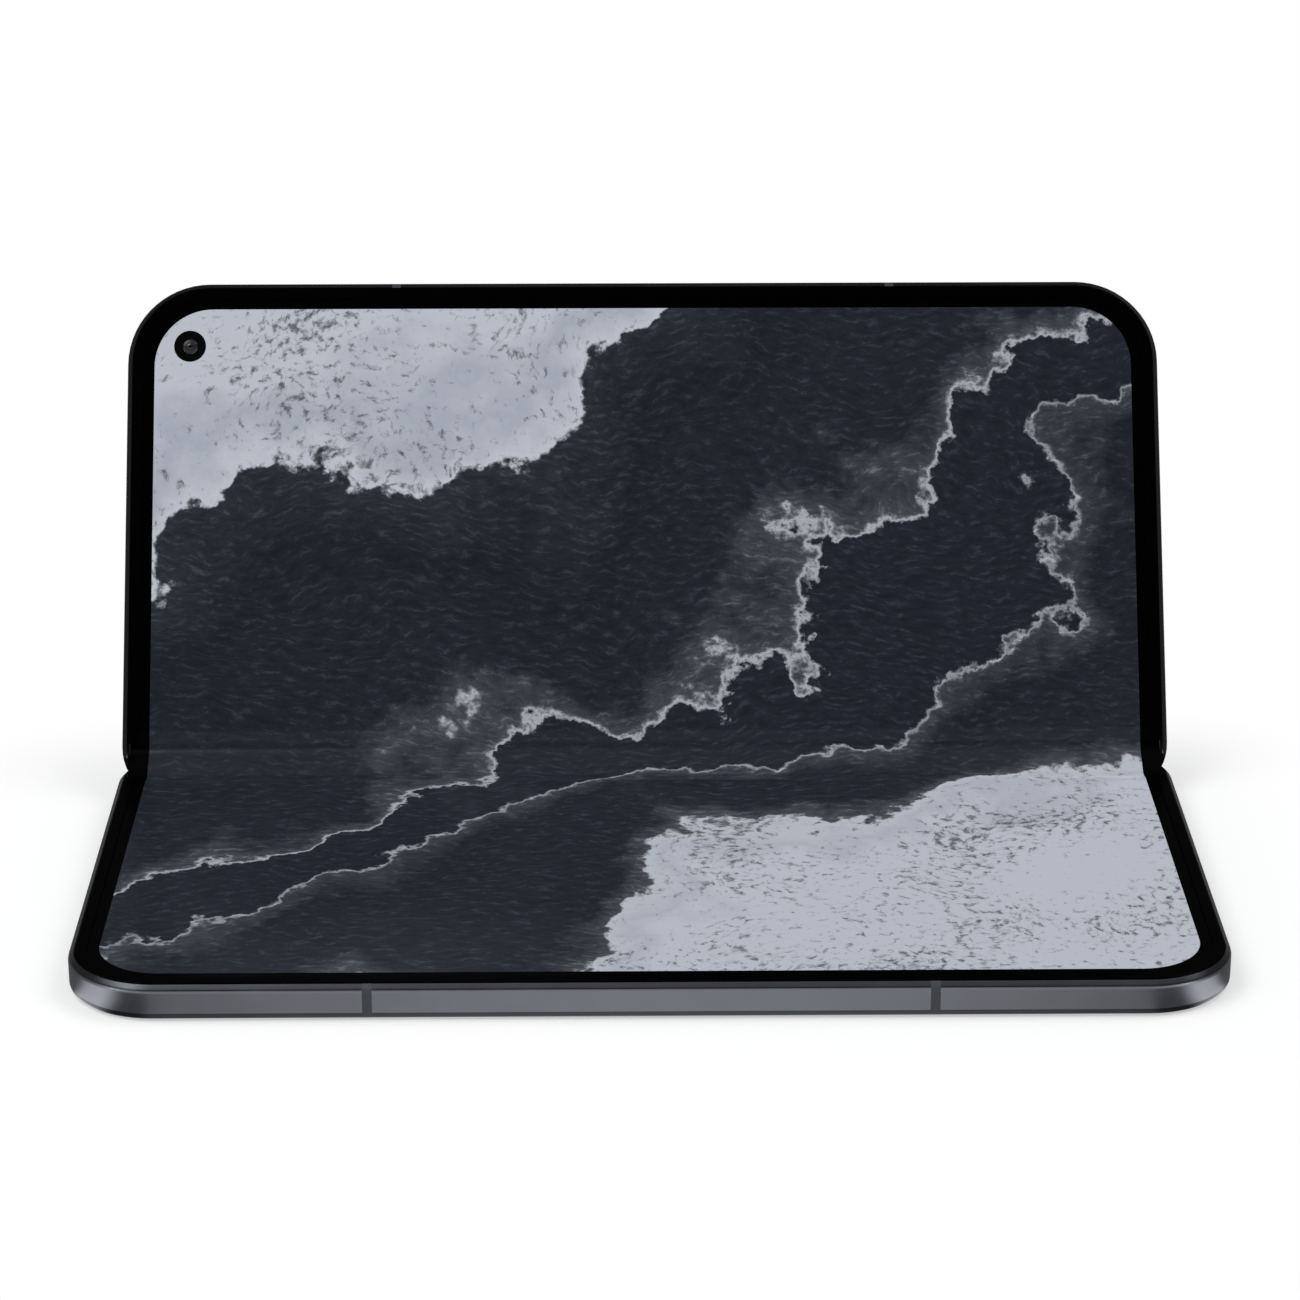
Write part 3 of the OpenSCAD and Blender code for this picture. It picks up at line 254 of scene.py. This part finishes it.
def surface(name, colour, roughness, metallic=0.0, grain=0.25, relief=0.004, spread=0.10,
            stretch=(1, 1, 1), specular=0.5):
    """A material with a fine grain in its tone, gloss and relief, and a slow drift of tone.

    The grain's size and its relief are in millimetres, and the spread is a share of the tone.
    """
    slow_share = 0.45
    slow_scale = 0.02
    noise_low, noise_high = 0.3, 0.7
    gloss_spread = 0.12
    made = bpy.data.materials.new(name)
    made.use_nodes = True
    nodes, links = made.node_tree.nodes, made.node_tree.links
    shader = nodes["Principled BSDF"]
    shader.inputs["Metallic"].default_value = metallic
    shader.inputs["Specular IOR Level"].default_value = specular
    place = nodes.new("ShaderNodeTexCoord")
    stretched = nodes.new("ShaderNodeMapping")
    stretched.inputs["Scale"].default_value = stretch
    links.new(place.outputs["Object"], stretched.inputs["Vector"])
    fine = nodes.new("ShaderNodeTexNoise")
    fine.inputs["Scale"].default_value = 1.0 / (grain * mm)
    slow = nodes.new("ShaderNodeTexNoise")
    slow.inputs["Scale"].default_value = slow_scale / (grain * mm)
    both = nodes.new("ShaderNodeMix")
    both.inputs["Factor"].default_value = slow_share
    for noise, socket in ((fine, "A"), (slow, "B")):
        links.new(stretched.outputs["Vector"], noise.inputs["Vector"])
        links.new(noise.outputs["Fac"], both.inputs[socket])
    tone = nodes.new("ShaderNodeValToRGB")
    tone_stops = ((noise_low, 1.0 - spread), (noise_high, 1.0 + spread))
    for element, (position, gain) in zip(tone.color_ramp.elements, tone_stops):
        element.position = position
        element.color = (*[min(1.0, channel * gain) for channel in colour], 1.0)
    links.new(both.outputs["Result"], tone.inputs["Fac"])
    links.new(tone.outputs["Color"], shader.inputs["Base Color"])
    gloss = nodes.new("ShaderNodeMapRange")
    gloss.inputs["From Min"].default_value = noise_low
    gloss.inputs["From Max"].default_value = noise_high
    gloss.inputs["To Min"].default_value = roughness * (1.0 - gloss_spread)
    gloss.inputs["To Max"].default_value = min(1.0, roughness * (1.0 + gloss_spread))
    links.new(both.outputs["Result"], gloss.inputs["Value"])
    links.new(gloss.outputs["Result"], shader.inputs["Roughness"])
    bump = nodes.new("ShaderNodeBump")
    bump.inputs["Distance"].default_value = relief * mm
    links.new(fine.outputs["Fac"], bump.inputs["Height"])
    links.new(bump.outputs["Normal"], shader.inputs["Normal"])
    return made


def paint(material, *names):
    """Gives CAD nodes their finish."""
    for name in names:
        for slot in frame["nodes"][name].material_slots:
            slot.material = material


def smooth_copy(node, name, body, finish):
    """A part's own mesh with its triangles merged, so that round edges shade as round, in its place."""
    bpy.ops.object.select_all(action="DESELECT")
    piece = bpy.data.objects.new(name, frame["nodes"][node].data.copy())
    bpy.context.scene.collection.objects.link(piece)
    piece.select_set(True)
    bpy.context.view_layer.objects.active = piece
    bpy.ops.object.mode_set(mode="EDIT")
    bpy.ops.mesh.select_all(action="SELECT")
    bpy.ops.mesh.remove_doubles(threshold=0.0005 * mm)
    bpy.ops.mesh.dissolve_limited(angle_limit=radians(0.3))
    bpy.ops.object.mode_set(mode="OBJECT")
    bpy.ops.object.shade_smooth_by_angle(angle=radians(32.0))
    bpy.ops.object.modifier_add(type="WEIGHTED_NORMAL")
    piece.modifiers[-1].keep_sharp = True
    bpy.ops.object.modifier_apply(modifier=piece.modifiers[-1].name)
    piece.data.materials.clear()
    piece.data.materials.append(finish)
    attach(piece, body)
    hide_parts(node)
    return piece


def paint_edge_shade(piece, face_up, to_fold):
    """Paints shade onto a frame's edges: black on its level top under the trim and on its ends that face
    the fold, and a darker copy of its metal on the upper bevel and the rounded lower edge.
    """
    piece.data.materials.append(painted_shade_metal)
    piece.data.materials.append(painted_shade_black)
    for face in piece.data.polygons:
        rise = face.normal.dot(face_up)
        level_top = rise > 0.90
        fold_end = face.normal.dot(to_fold) > 0.15
        upper_bevel = rise > 0.55
        lower_round = -0.97 < rise < -0.08
        if level_top or fold_end:
            face.material_index = 2
        elif upper_bevel or lower_round:
            face.material_index = 1


anodised = surface(
    "anodised_aluminium", GUNMETAL, 0.36, metallic=1.0, grain=0.12, relief=0.003, spread=0.07)
# Painted shade: a darker copy of the anodised metal for the bevels and the rounded lower edge, and black
# for the level top and the ends that face the fold
painted_shade_metal = surface(
    "painted_shade_aluminium", (0.058, 0.062, 0.070), 0.30, metallic=1.0, grain=0.12, relief=0.002)
painted_shade_black = surface("painted_shade_black", (0.0010, 0.0010, 0.0012), 0.45, grain=0.1, relief=0.002, specular=0.04)
# Its edges get painted shade, picked by the way each face looks
base_shell = smooth_copy("base_frame", "base_frame_milled", "base_half", anodised)
paint_edge_shade(base_shell, Vector((0.0, 0.0, 1.0)), Vector((0.0, 1.0, 0.0)))

# ---- Antenna breaks ----
# Dark polymer, moulded into slots that cut each frame's outer edge in three, then milled flush
# with the metal. They let the radio through.
break_polymer = surface("antenna_polymer", (0.023, 0.027, 0.034), 0.5, grain=0.08, relief=0.002)
smooth_copy("base_antenna_bands", "base_antenna_breaks", "base_half", break_polymer)
smooth_copy("lid_antenna_bands", "lid_antenna_breaks", "lid_half", break_polymer)

# ---- Outer display ----
# The phone's small display on the base half's underside: bevelled glass, black behind, over an
# unlit panel, with its own camera. The glass stands a little proud and carries the phone.


def polished(name, colour, roughness=0.04, smears=0.05, specular=0.5):
    """Glass, or film as smooth as glass, with faint smears in its gloss."""
    made = surface(name, colour, roughness, grain=0.4, relief=0.0, spread=0.04, specular=specular)
    nodes = made.node_tree.nodes
    nodes["Principled BSDF"].inputs["IOR"].default_value = 1.5
    gloss = next(node for node in nodes if node.type == "MAP_RANGE")
    gloss.inputs["To Max"].default_value = roughness + smears
    return made


black_glass = polished("outer_glass", (0.004, 0.004, 0.005))
smooth_copy("cover_glass", "outer_display_glass", "base_half", black_glass)
paint(polished("unlit_panel", (0.006, 0.006, 0.009)), "cover_display_panel")
camera_black = polished("camera_black", (0.0010, 0.0010, 0.0012), 0.3, specular=0.04)
paint(camera_black, "cover_camera", "selfie_camera", "rear_cameras")

# ---- Base half, inside ----
# A pouch battery in grey foil, a small board in green solder mask, the card reader, the vibration
# motor, a speaker with its mesh, and magnets that hold the closed halves together.
foil = surface("battery_foil", (0.05, 0.053, 0.058), 0.42, metallic=0.6, grain=1.2, relief=0.03, spread=0.2)
paint(foil, "base_battery", "lid_battery")
solder_mask = surface("solder_mask", (0.010, 0.055, 0.025), 0.38, grain=0.9, relief=0.02, spread=0.35)
paint(solder_mask, "base_board", "main_board")
pressed = surface("pressed_steel", (0.46, 0.46, 0.48), 0.3, metallic=1.0, grain=0.2, stretch=(1, 8, 8))
paint(pressed, "sim_reader", "vibration_motor", "shield_cans")
paint(pressed, "base_support_plate", "middle_support_plate", "lid_support_plate")
speaker_plastic = surface("speaker_plastic", (0.010, 0.010, 0.011), 0.55, grain=0.15, relief=0.006)
paint(speaker_plastic, "base_speaker", "lid_speaker")
black_mesh = surface("black_mesh", (0.03, 0.03, 0.033), 0.5, metallic=0.7, grain=0.1, relief=0.004)
paint(black_mesh, "base_speaker_mesh", "lid_speaker_mesh")
nickel = surface("nickel_plate", (0.42, 0.42, 0.43), 0.25, metallic=1.0, grain=0.3)
paint(nickel, "base_magnets", "lid_magnets")

# ---- Card tray ----
# A thin tray for two cards, of the frame's own aluminium. Its head closes the slot in the base's
# right side, flush with the metal, and has a hole for the ejector pin.
smooth_copy("sim_tray", "card_tray_milled", "card_tray", anodised)

# ---- Hinge ----
# Ground steel shafts, arms, screws and brackets, with cut brass gears and idlers that keep both
# halves turning alike, and disc springs that hold the lid at any angle.
ground_steel = surface(
    "ground_steel", (0.50, 0.50, 0.52), 0.28, metallic=1.0, grain=0.12, stretch=(1, 12, 12))
paint(ground_steel, "base_hinge_arms", "base_hinge_shafts", "base_arm_screws", "lid_hinge_arms")
paint(ground_steel, "lid_hinge_shafts", "lid_arm_screws", "hinge_brackets", "idler_pins", "disc_springs")
cut_brass = surface("cut_brass", (0.62, 0.45, 0.18), 0.3, metallic=1.0, grain=0.1)
paint(cut_brass, "base_gears", "lid_gears", "front_idlers", "rear_idlers")
smooth_copy("spine_cover", "spine_cover_milled", "spine", anodised)
cap_plastic = surface("cap_plastic", (0.0010, 0.0010, 0.0012), 0.45, grain=0.1, relief=0.003, specular=0.10)
smooth_copy("spine_end_caps", "spine_end_caps_moulded", "spine", cap_plastic)

# ---- Lid frame ----
# The upper half's frame, milled and finished like the base's, with the same painted shade on its
# edges, and with openings for the socket, the buttons and the speaker.
lid_shell = smooth_copy("lid_frame", "lid_frame_milled", "lid_half", anodised)
hinges = {joint["name"]: joint for joint in frame["joints"]}
rest_tilt = -radians(hinges["spine_fold"]["range_deg"][0])
lid_turn = Matrix.Rotation(2.0 * rest_tilt, 3, "X")
lid_along = lid_turn @ Vector((0.0, 1.0, 0.0))
lid_back = lid_turn @ Vector((0.0, 0.0, -1.0))
paint_edge_shade(lid_shell, -lid_back, -lid_along)

# ---- Back glass and camera island ----
# Frosted grey glass closes the lid's back. A two-step aluminium island stands out of it, with
# three cameras under clear glass in black rings, and a warm white lamp.
frosted = polished("frosted_glass", (0.062, 0.066, 0.078), 0.34, 0.04)
smooth_copy("back_glass", "frosted_back_glass", "lid_half", frosted)
smooth_copy("camera_island", "camera_island_milled", "lid_half", anodised)
ring_black = polished("lens_ring_black", (0.003, 0.003, 0.004), 0.05, 0.03)
lens_covers = smooth_copy("camera_lenses", "rear_lens_covers", "lid_half", ring_black)
clear_glass = polished("clear_lens_glass", (0.92, 0.94, 1.0), 0.01, 0.01)
clear_glass.node_tree.nodes["Principled BSDF"].inputs["Transmission Weight"].default_value = 1.0
lens_covers.data.materials.append(clear_glass)
for face in lens_covers.data.polygons:
    face.select = abs(face.normal.dot(lid_back)) > 0.99
ring_w = 1.7 * mm
bpy.ops.object.mode_set(mode="EDIT")
bpy.ops.mesh.select_mode(type="FACE")
bpy.ops.mesh.inset(thickness=ring_w, use_individual=True)
lens_covers.active_material_index = 1
bpy.ops.object.material_slot_assign()
bpy.ops.object.mode_set(mode="OBJECT")

# The lens that shows through each cover
coated_lens = polished("coated_lens", (0.012, 0.010, 0.030), 0.04, 0.02)
coated_inputs = coated_lens.node_tree.nodes["Principled BSDF"].inputs
coated_inputs["Coat Weight"].default_value = 1.0
coated_inputs["Coat Tint"].default_value = (0.55, 0.62, 1.0, 1.0)


def lens_group(name, places, facing, radius, glass):
    """Domed glass in a black ring, with a black pupil in the middle, at each place."""
    flattened = Matrix.Diagonal((1.0, 1.0, 0.22, 1.0))
    pupil_r, pupil_lift = 0.42 * radius, 0.16 * radius
    ring_r, ring_thickness = 0.98 * radius, 0.09 * radius
    turn = facing.to_track_quat("Z", "Y").to_matrix().to_4x4()
    made = []
    for place in places:
        for dome_r, lift, finish in ((radius, 0.0, glass), (pupil_r, pupil_lift, ring_black)):
            bpy.ops.mesh.primitive_uv_sphere_add(segments=48, ring_count=24, radius=dome_r)
            dome = bpy.context.object
            bpy.ops.object.mode_set(mode="EDIT")
            bpy.ops.mesh.bisect(
                plane_co=(0.0, 0.0, 0.0), plane_no=(0.0, 0.0, 1.0), clear_inner=True, use_fill=True)
            bpy.ops.object.mode_set(mode="OBJECT")
            dome.data.transform(Matrix.Translation(place + lift * facing) @ turn @ flattened)
            dome.data.materials.append(finish)
            made.append(dome)
        bpy.ops.mesh.primitive_torus_add(
            major_segments=48, minor_segments=12, major_radius=ring_r, minor_radius=ring_thickness)
        ring = bpy.context.object
        ring.data.transform(Matrix.Translation(place) @ turn)
        ring.data.materials.append(ring_black)
        made.append(ring)
    for piece in made:
        piece.select_set(True)
    bpy.context.view_layer.objects.active = made[0]
    bpy.ops.object.join()
    made[0].name = name
    bpy.ops.object.shade_smooth_by_angle(angle=radians(35.0))
    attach(made[0], "lid_half")


lens_r = 2.3 * mm
lens_pitch = 15.0 * mm
lens_depth = 0.85 * mm
covers_low, covers_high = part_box("camera_lenses")
middle_lens = (covers_low + covers_high) / 2 - lens_depth * lid_back
lens_places = [middle_lens + i * lens_pitch * lid_along for i in (-1, 0, 1)]
lens_group("rear_lens_elements", lens_places, lid_back, lens_r, coated_lens)
lamp_lens = surface("lamp_lens", (0.80, 0.62, 0.30), 0.25, grain=0.3, relief=0.03)
smooth_copy("flash_lamp", "rear_lamp", "lid_half", lamp_lens)

# ---- Lid half, inside ----
# The main board with its shield cans, and the battery, are finished like the base's. A flat coil
# for charging, wound of copper wire, is glued under the back glass.
paint(surface("wound_copper", (0.65, 0.28, 0.12), 0.32, metallic=1.0, grain=0.2), "charging_coil")

# ---- Buttons and socket ----
# Power button and volume rocker of anodised aluminium over snap switches, and a round-ended
# socket with a steel shell and a black tongue.
smooth_copy("power_button", "power_button_milled", "power_key", anodised)
smooth_copy("volume_rocker", "volume_rocker_milled", "volume_key", anodised)
amber_film = surface("amber_film", (0.30, 0.12, 0.02), 0.35, grain=0.5)
paint(amber_film, "button_switches")
smooth_copy("usb_c_port", "socket_shell", "lid_half", pressed)
paint(speaker_plastic, "usb_c_tongue")

# ---- Folding display ----
# One plastic film over both halves, dark mask round its lit area. It lies flat on each half and
# bends over the hinge, so its lower and upper part each bend between a half and the spine.
fold_y = -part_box("base_frame")[0].y
film_low, film_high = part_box("lower_display")
film_top = film_high.z
film_t = film_high.z - film_low.z
film_x = film_high.x
film_depth = fold_y - film_low.y
film_corner = 11.6 * mm
mask_w = 2.82 * mm
bend_reach = 6.5 * mm
bend_rows = 26
base_axis = Vector(hinges["spine_fold"]["pos_m"])
lid_axis = Vector(hinges["lid_fold"]["pos_m"])


def turned(axis, angle):
    """The turn about a line along the hinge."""
    return Matrix.Translation(axis) @ Matrix.Rotation(angle, 4, "X") @ Matrix.Translation(-axis)


to_spine = turned(base_axis, rest_tilt)
to_lid = turned(lid_axis, rest_tilt) @ to_spine
fold_point = Vector((0.0, fold_y, film_top))
spine_end = to_spine @ fold_point
lower_start = fold_point - Vector((0.0, bend_reach, 0.0))
upper_end = to_lid @ (fold_point + Vector((0.0, bend_reach, 0.0)))


def bent(flat, start, end, axis):
    """The place depends on the weight, so it is settled in rounds.
    """
    along = end - start
    place = flat
    for _ in range(12):
        share = min(1.0, max(0.0, (place - start).dot(along) / along.length_squared))
        weight = share * share * (3.0 - 2.0 * share)
        place = turned(axis, rest_tilt * weight) @ flat
    return place


def bend_lower(piece, start, end):
    """Bends a flat piece from the base to the spine."""
    for vertex in piece.data.vertices:
        vertex.co = bent(vertex.co, start, end, base_axis)
    bpy.ops.object.shade_smooth_by_angle(angle=radians(30.0))


def bend_upper(piece, start, end):
    """Bends a flat piece, already mirrored to the lid's side, from the spine to the lid."""
    for vertex in piece.data.vertices:
        vertex.co = bent(to_spine @ vertex.co, start, end, lid_axis)
    bpy.ops.object.shade_smooth_by_angle(angle=radians(30.0))


def mirror_to_lid(piece):
    """Mirrors a flat piece over the fold, from the base's side to the lid's."""
    for vertex in piece.data.vertices:
        vertex.co.y = 2.0 * fold_y - vertex.co.y
    bpy.ops.object.mode_set(mode="EDIT")
    bpy.ops.mesh.select_all(action="SELECT")
    bpy.ops.mesh.flip_normals()
    bpy.ops.object.mode_set(mode="OBJECT")


def thicken(piece, thickness, offset):
    """Gives a flat sheet its thickness: below it at offset -1, half on each side at 0."""
    bpy.ops.object.modifier_add(type="SOLIDIFY")
    piece.modifiers[-1].thickness = thickness
    piece.modifiers[-1].offset = offset
    bpy.ops.object.modifier_apply(modifier=piece.modifiers[-1].name)


def flat_film(name):
    """The film of the lower half, laid flat: round outer corners, a mask border and rows to bend along."""
    bpy.ops.mesh.primitive_plane_add(size=2.0, location=(0.0, fold_y, film_top))
    film = bpy.context.object
    film.name = name
    bpy.ops.object.mode_set(mode="EDIT")
    bpy.ops.transform.resize(value=(film_x, film_depth, 1.0), center_override=(0.0, fold_y, film_top))
    bpy.ops.mesh.bevel(offset=film_corner, segments=20, affect="VERTICES")
    bpy.ops.mesh.select_all(action="SELECT")
    bpy.ops.mesh.inset(thickness=mask_w)
    film.data.materials.append(mask_black)
    film.data.materials.append(picture)
    film.active_material_index = 1
    bpy.ops.object.material_slot_assign()
    for row in range(bend_rows + 1):
        bpy.ops.mesh.select_all(action="SELECT")
        bpy.ops.mesh.bisect(
            plane_co=(0.0, fold_y - bend_reach * row / bend_rows, film_top), plane_no=(0.0, 1.0, 0.0),
            clear_outer=row == 0)
    bpy.ops.object.mode_set(mode="OBJECT")
    thicken(film, film_t, -1.0)
    film.data.transform(film.matrix_world)
    film.matrix_world = Matrix.Identity(4)
    return film


def lay_picture(film):
    """Keeps each point's place on the flat film, in decimetres from the middle of the fold."""
    decimetre = 100.0 * mm
    layout = film.data.uv_layers.new(name="picture")
    for corner in film.data.loops:
        point = film.data.vertices[corner.vertex_index].co
        layout.data[corner.index].uv = (point.x / decimetre, (point.y - fold_y) / decimetre)


mask_black = polished("film_mask", (0.0004, 0.0004, 0.0005), 0.22, 0.04, specular=0.01)

# The picture: an abstract of slate with ragged pale drifts, in the colours that the display shows
picture = bpy.data.materials.new("lit_picture")
picture.use_nodes = True
nodes, links = picture.node_tree.nodes, picture.node_tree.links
shader = nodes["Principled BSDF"]
shader.inputs["Base Color"].default_value = (0.004, 0.004, 0.005, 1.0)
shader.inputs["Roughness"].default_value = 0.24
shader.inputs["Specular IOR Level"].default_value = 0.08
shader.inputs["Emission Strength"].default_value = 1.0
layout_map = nodes.new("ShaderNodeUVMap")
layout_map.uv_map = "picture"


def noise(place, scale, detail, roughness=0.5):
    """A noise node of the material in hand, at a place given by a socket."""
    node = nodes.new("ShaderNodeTexNoise")
    node.inputs["Scale"].default_value = scale
    node.inputs["Detail"].default_value = detail
    node.inputs["Roughness"].default_value = roughness
    links.new(place, node.inputs["Vector"])
    return node


def vector_maths(operation, place, factor, added=None):
    """A vector maths node of the material in hand: a place by a factor, and a socket added to it."""
    node = nodes.new("ShaderNodeVectorMath")
    node.operation = operation
    links.new(place, node.inputs[0])
    node.inputs[1].default_value = factor
    if added:
        links.new(added, node.inputs[2])
    return node


# Where the drifts lie: a slanted height, pushed about by coarse and fine noise
aslant = vector_maths("DOT_PRODUCT", layout_map.outputs["UV"], (0.46, -0.62, 0.0))
push = noise(layout_map.outputs["UV"], 1.5, 12.0, 0.56)
pushed = maths("MULTIPLY_ADD", push.outputs["Fac"], 1.15, aslant.outputs["Value"])
shades = nodes.new("ShaderNodeValToRGB")
ramp = shades.color_ramp
ramp.elements[0].color = (0.47, 0.50, 0.56, 1.0)
ramp.elements[1].color = (0.45, 0.48, 0.54, 1.0)
for position, colour in (
    (0.07, (0.36, 0.39, 0.45)), (0.135, (0.49, 0.52, 0.58)), (0.142, (0.024, 0.029, 0.038)),
    (0.26, (0.012, 0.015, 0.021)), (0.405, (0.015, 0.018, 0.026)), (0.455, (0.060, 0.067, 0.080)),
    (0.466, (0.42, 0.44, 0.48)), (0.472, (0.014, 0.017, 0.025)), (0.62, (0.013, 0.016, 0.024)),
    (0.626, (0.34, 0.36, 0.40)), (0.634, (0.046, 0.052, 0.063)), (0.70, (0.012, 0.015, 0.022)),
    (0.84, (0.016, 0.019, 0.027)), (0.895, (0.066, 0.072, 0.084)), (0.903, (0.44, 0.47, 0.52)),
    (0.95, (0.38, 0.41, 0.47))):
    ramp.elements.new(position).color = (*colour, 1.0)
links.new(pushed, shades.inputs["Fac"])

# A fine grain over all of it: short strokes that swirl with the coarse noise
swirl = vector_maths("MULTIPLY_ADD", push.outputs["Color"], (0.30, 0.30, 0.0), layout_map.outputs["UV"])
stroke_map = nodes.new("ShaderNodeMapping")
stroke_map.inputs["Rotation"].default_value = (0.0, 0.0, radians(24.0))
stroke_map.inputs["Scale"].default_value = (38.0, 120.0, 1.0)
links.new(swirl.outputs["Vector"], stroke_map.inputs["Vector"])
grain = noise(stroke_map.outputs["Vector"], 1.0, 5.0, 0.7)
strokes = shades_of(grain.outputs["Fac"], ((0.36, 0.20), (0.53, 0.29), (0.66, 0.66)))

# Dark specks, in loose patches, on the pale drifts
speck = noise(swirl.outputs["Vector"], 75.0, 4.0, 0.65)
patch = noise(swirl.outputs["Vector"], 4.5, 3.0)
speckled = maths("MULTIPLY_ADD", patch.outputs["Fac"], 0.55, speck.outputs["Fac"])
specks = mapped(speckled, 0.80, 1.0, 0.333, 0.08)
pale = mapped(shades.outputs["Color"], 0.20, 0.36, 0.0, 1.0)
tone_gain = nodes.new("ShaderNodeMix")
links.new(pale, tone_gain.inputs["Factor"])
links.new(strokes, tone_gain.inputs["A"])
links.new(specks, tone_gain.inputs["B"])
display_gain = 3.0
grained = nodes.new("ShaderNodeVectorMath")
grained.operation = "SCALE"
links.new(shades.outputs["Color"], grained.inputs[0])
links.new(maths("MULTIPLY", tone_gain.outputs["Result"], display_gain), grained.inputs["Scale"])
links.new(grained.outputs["Vector"], shader.inputs["Emission Color"])

lower_screen = flat_film("lower_screen")
lay_picture(lower_screen)
bend_lower(lower_screen, lower_start, spine_end)
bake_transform(lower_screen)
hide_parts("lower_display", "fold_display")

# The upper part has a hole for the inner camera, punched before it is mirrored to the lid's side
upper_screen = flat_film("upper_screen")
camera_low, camera_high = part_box("selfie_camera")
camera_spot = to_lid.inverted() @ ((camera_low + camera_high) / 2)
camera_r = (camera_high.x - camera_low.x) / 2
punch_gap = 0.05 * mm
punch_depth = 10.0 * mm
bpy.ops.mesh.primitive_cylinder_add(
    vertices=64, radius=camera_r + punch_gap, depth=punch_depth,
    location=(camera_spot.x, 2.0 * fold_y - camera_spot.y, film_top))
punch = bpy.context.object
bpy.ops.object.select_all(action="DESELECT")
upper_screen.select_set(True)
bpy.context.view_layer.objects.active = upper_screen
bpy.ops.object.modifier_add(type="BOOLEAN")
upper_screen.modifiers[-1].operation = "DIFFERENCE"
upper_screen.modifiers[-1].object = punch
bpy.ops.object.modifier_apply(modifier=upper_screen.modifiers[-1].name)
bpy.data.objects.remove(punch)
mirror_to_lid(upper_screen)
lay_picture(upper_screen)
bend_upper(upper_screen, spine_end, upper_end)
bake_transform(upper_screen)
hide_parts("upper_display")

# ---- Inner camera's lens ----
# A small domed lens of dark glass in a black ring, glued over the inner camera. It stands in the
# hole of the display, just under the film's outer face.
selfie_r = 1.15 * mm
selfie_depth = 0.30 * mm
selfie_spot = to_lid @ Vector((camera_spot.x, camera_spot.y, film_top - selfie_depth))
selfie_glass = polished("selfie_glass", (0.016, 0.016, 0.019), 0.2, 0.02, specular=0.2)
lens_group("selfie_lens", [selfie_spot], -lid_back, selfie_r, selfie_glass)

# ---- Hinge flex cables ----
# Two flat amber cables, printed with copper, carry the signals through the hinge from the main
# board to the base. Each bends round both hinge shafts, as the display does above it.
flex_t = 0.12 * mm
half_flex_w = 6.0 * mm
half_flex_l = 7.25 * mm
flex_turn = 2.4 * mm
flex_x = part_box("hinge_flexes")[1].x - half_flex_w


def flat_flexes(name):
    """The base side of both cables, laid flat at the height of the shafts."""
    made = []
    for side in (-1, 1):
        bpy.ops.mesh.primitive_grid_add(x_subdivisions=4, y_subdivisions=60, size=2.0)
        strip = bpy.context.object
        strip.data.transform(Matrix.Translation((side * flex_x, fold_y - half_flex_l, base_axis.z))
                             @ Matrix.Diagonal((half_flex_w, half_flex_l, 1.0, 1.0)))
        made.append(strip)
    for strip in made:
        strip.select_set(True)
    bpy.ops.object.join()
    strip.name = name
    thicken(strip, flex_t, 0.0)
    strip.data.materials.append(amber_film)
    return strip


flex_middle = to_spine @ Vector((0.0, fold_y, base_axis.z))
flex_start = Vector((0.0, base_axis.y - flex_turn, base_axis.z))
flex_end = to_lid @ Vector((0.0, 2.0 * fold_y - flex_start.y, base_axis.z))
lower_flexes = flat_flexes("lower_flexes")
bend_lower(lower_flexes, flex_start, flex_middle)
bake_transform(lower_flexes)
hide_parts("hinge_flexes")
upper_flexes = flat_flexes("upper_flexes")
mirror_to_lid(upper_flexes)
bend_upper(upper_flexes, flex_middle, flex_end)
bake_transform(upper_flexes)

# ---- Display trims ----
# A thin black polymer rim, glued over the film's edge on each half. It keeps the closed display
# halves apart.
trim_polymer = surface(
    "trim_polymer", (0.0004, 0.0004, 0.0005), 0.28, grain=0.08, relief=0.001, specular=0.01)
smooth_copy("base_bezel_trim", "base_trim_moulded", "base_half", trim_polymer)
smooth_copy("lid_bezel_trim", "lid_trim_moulded", "lid_half", trim_polymer)
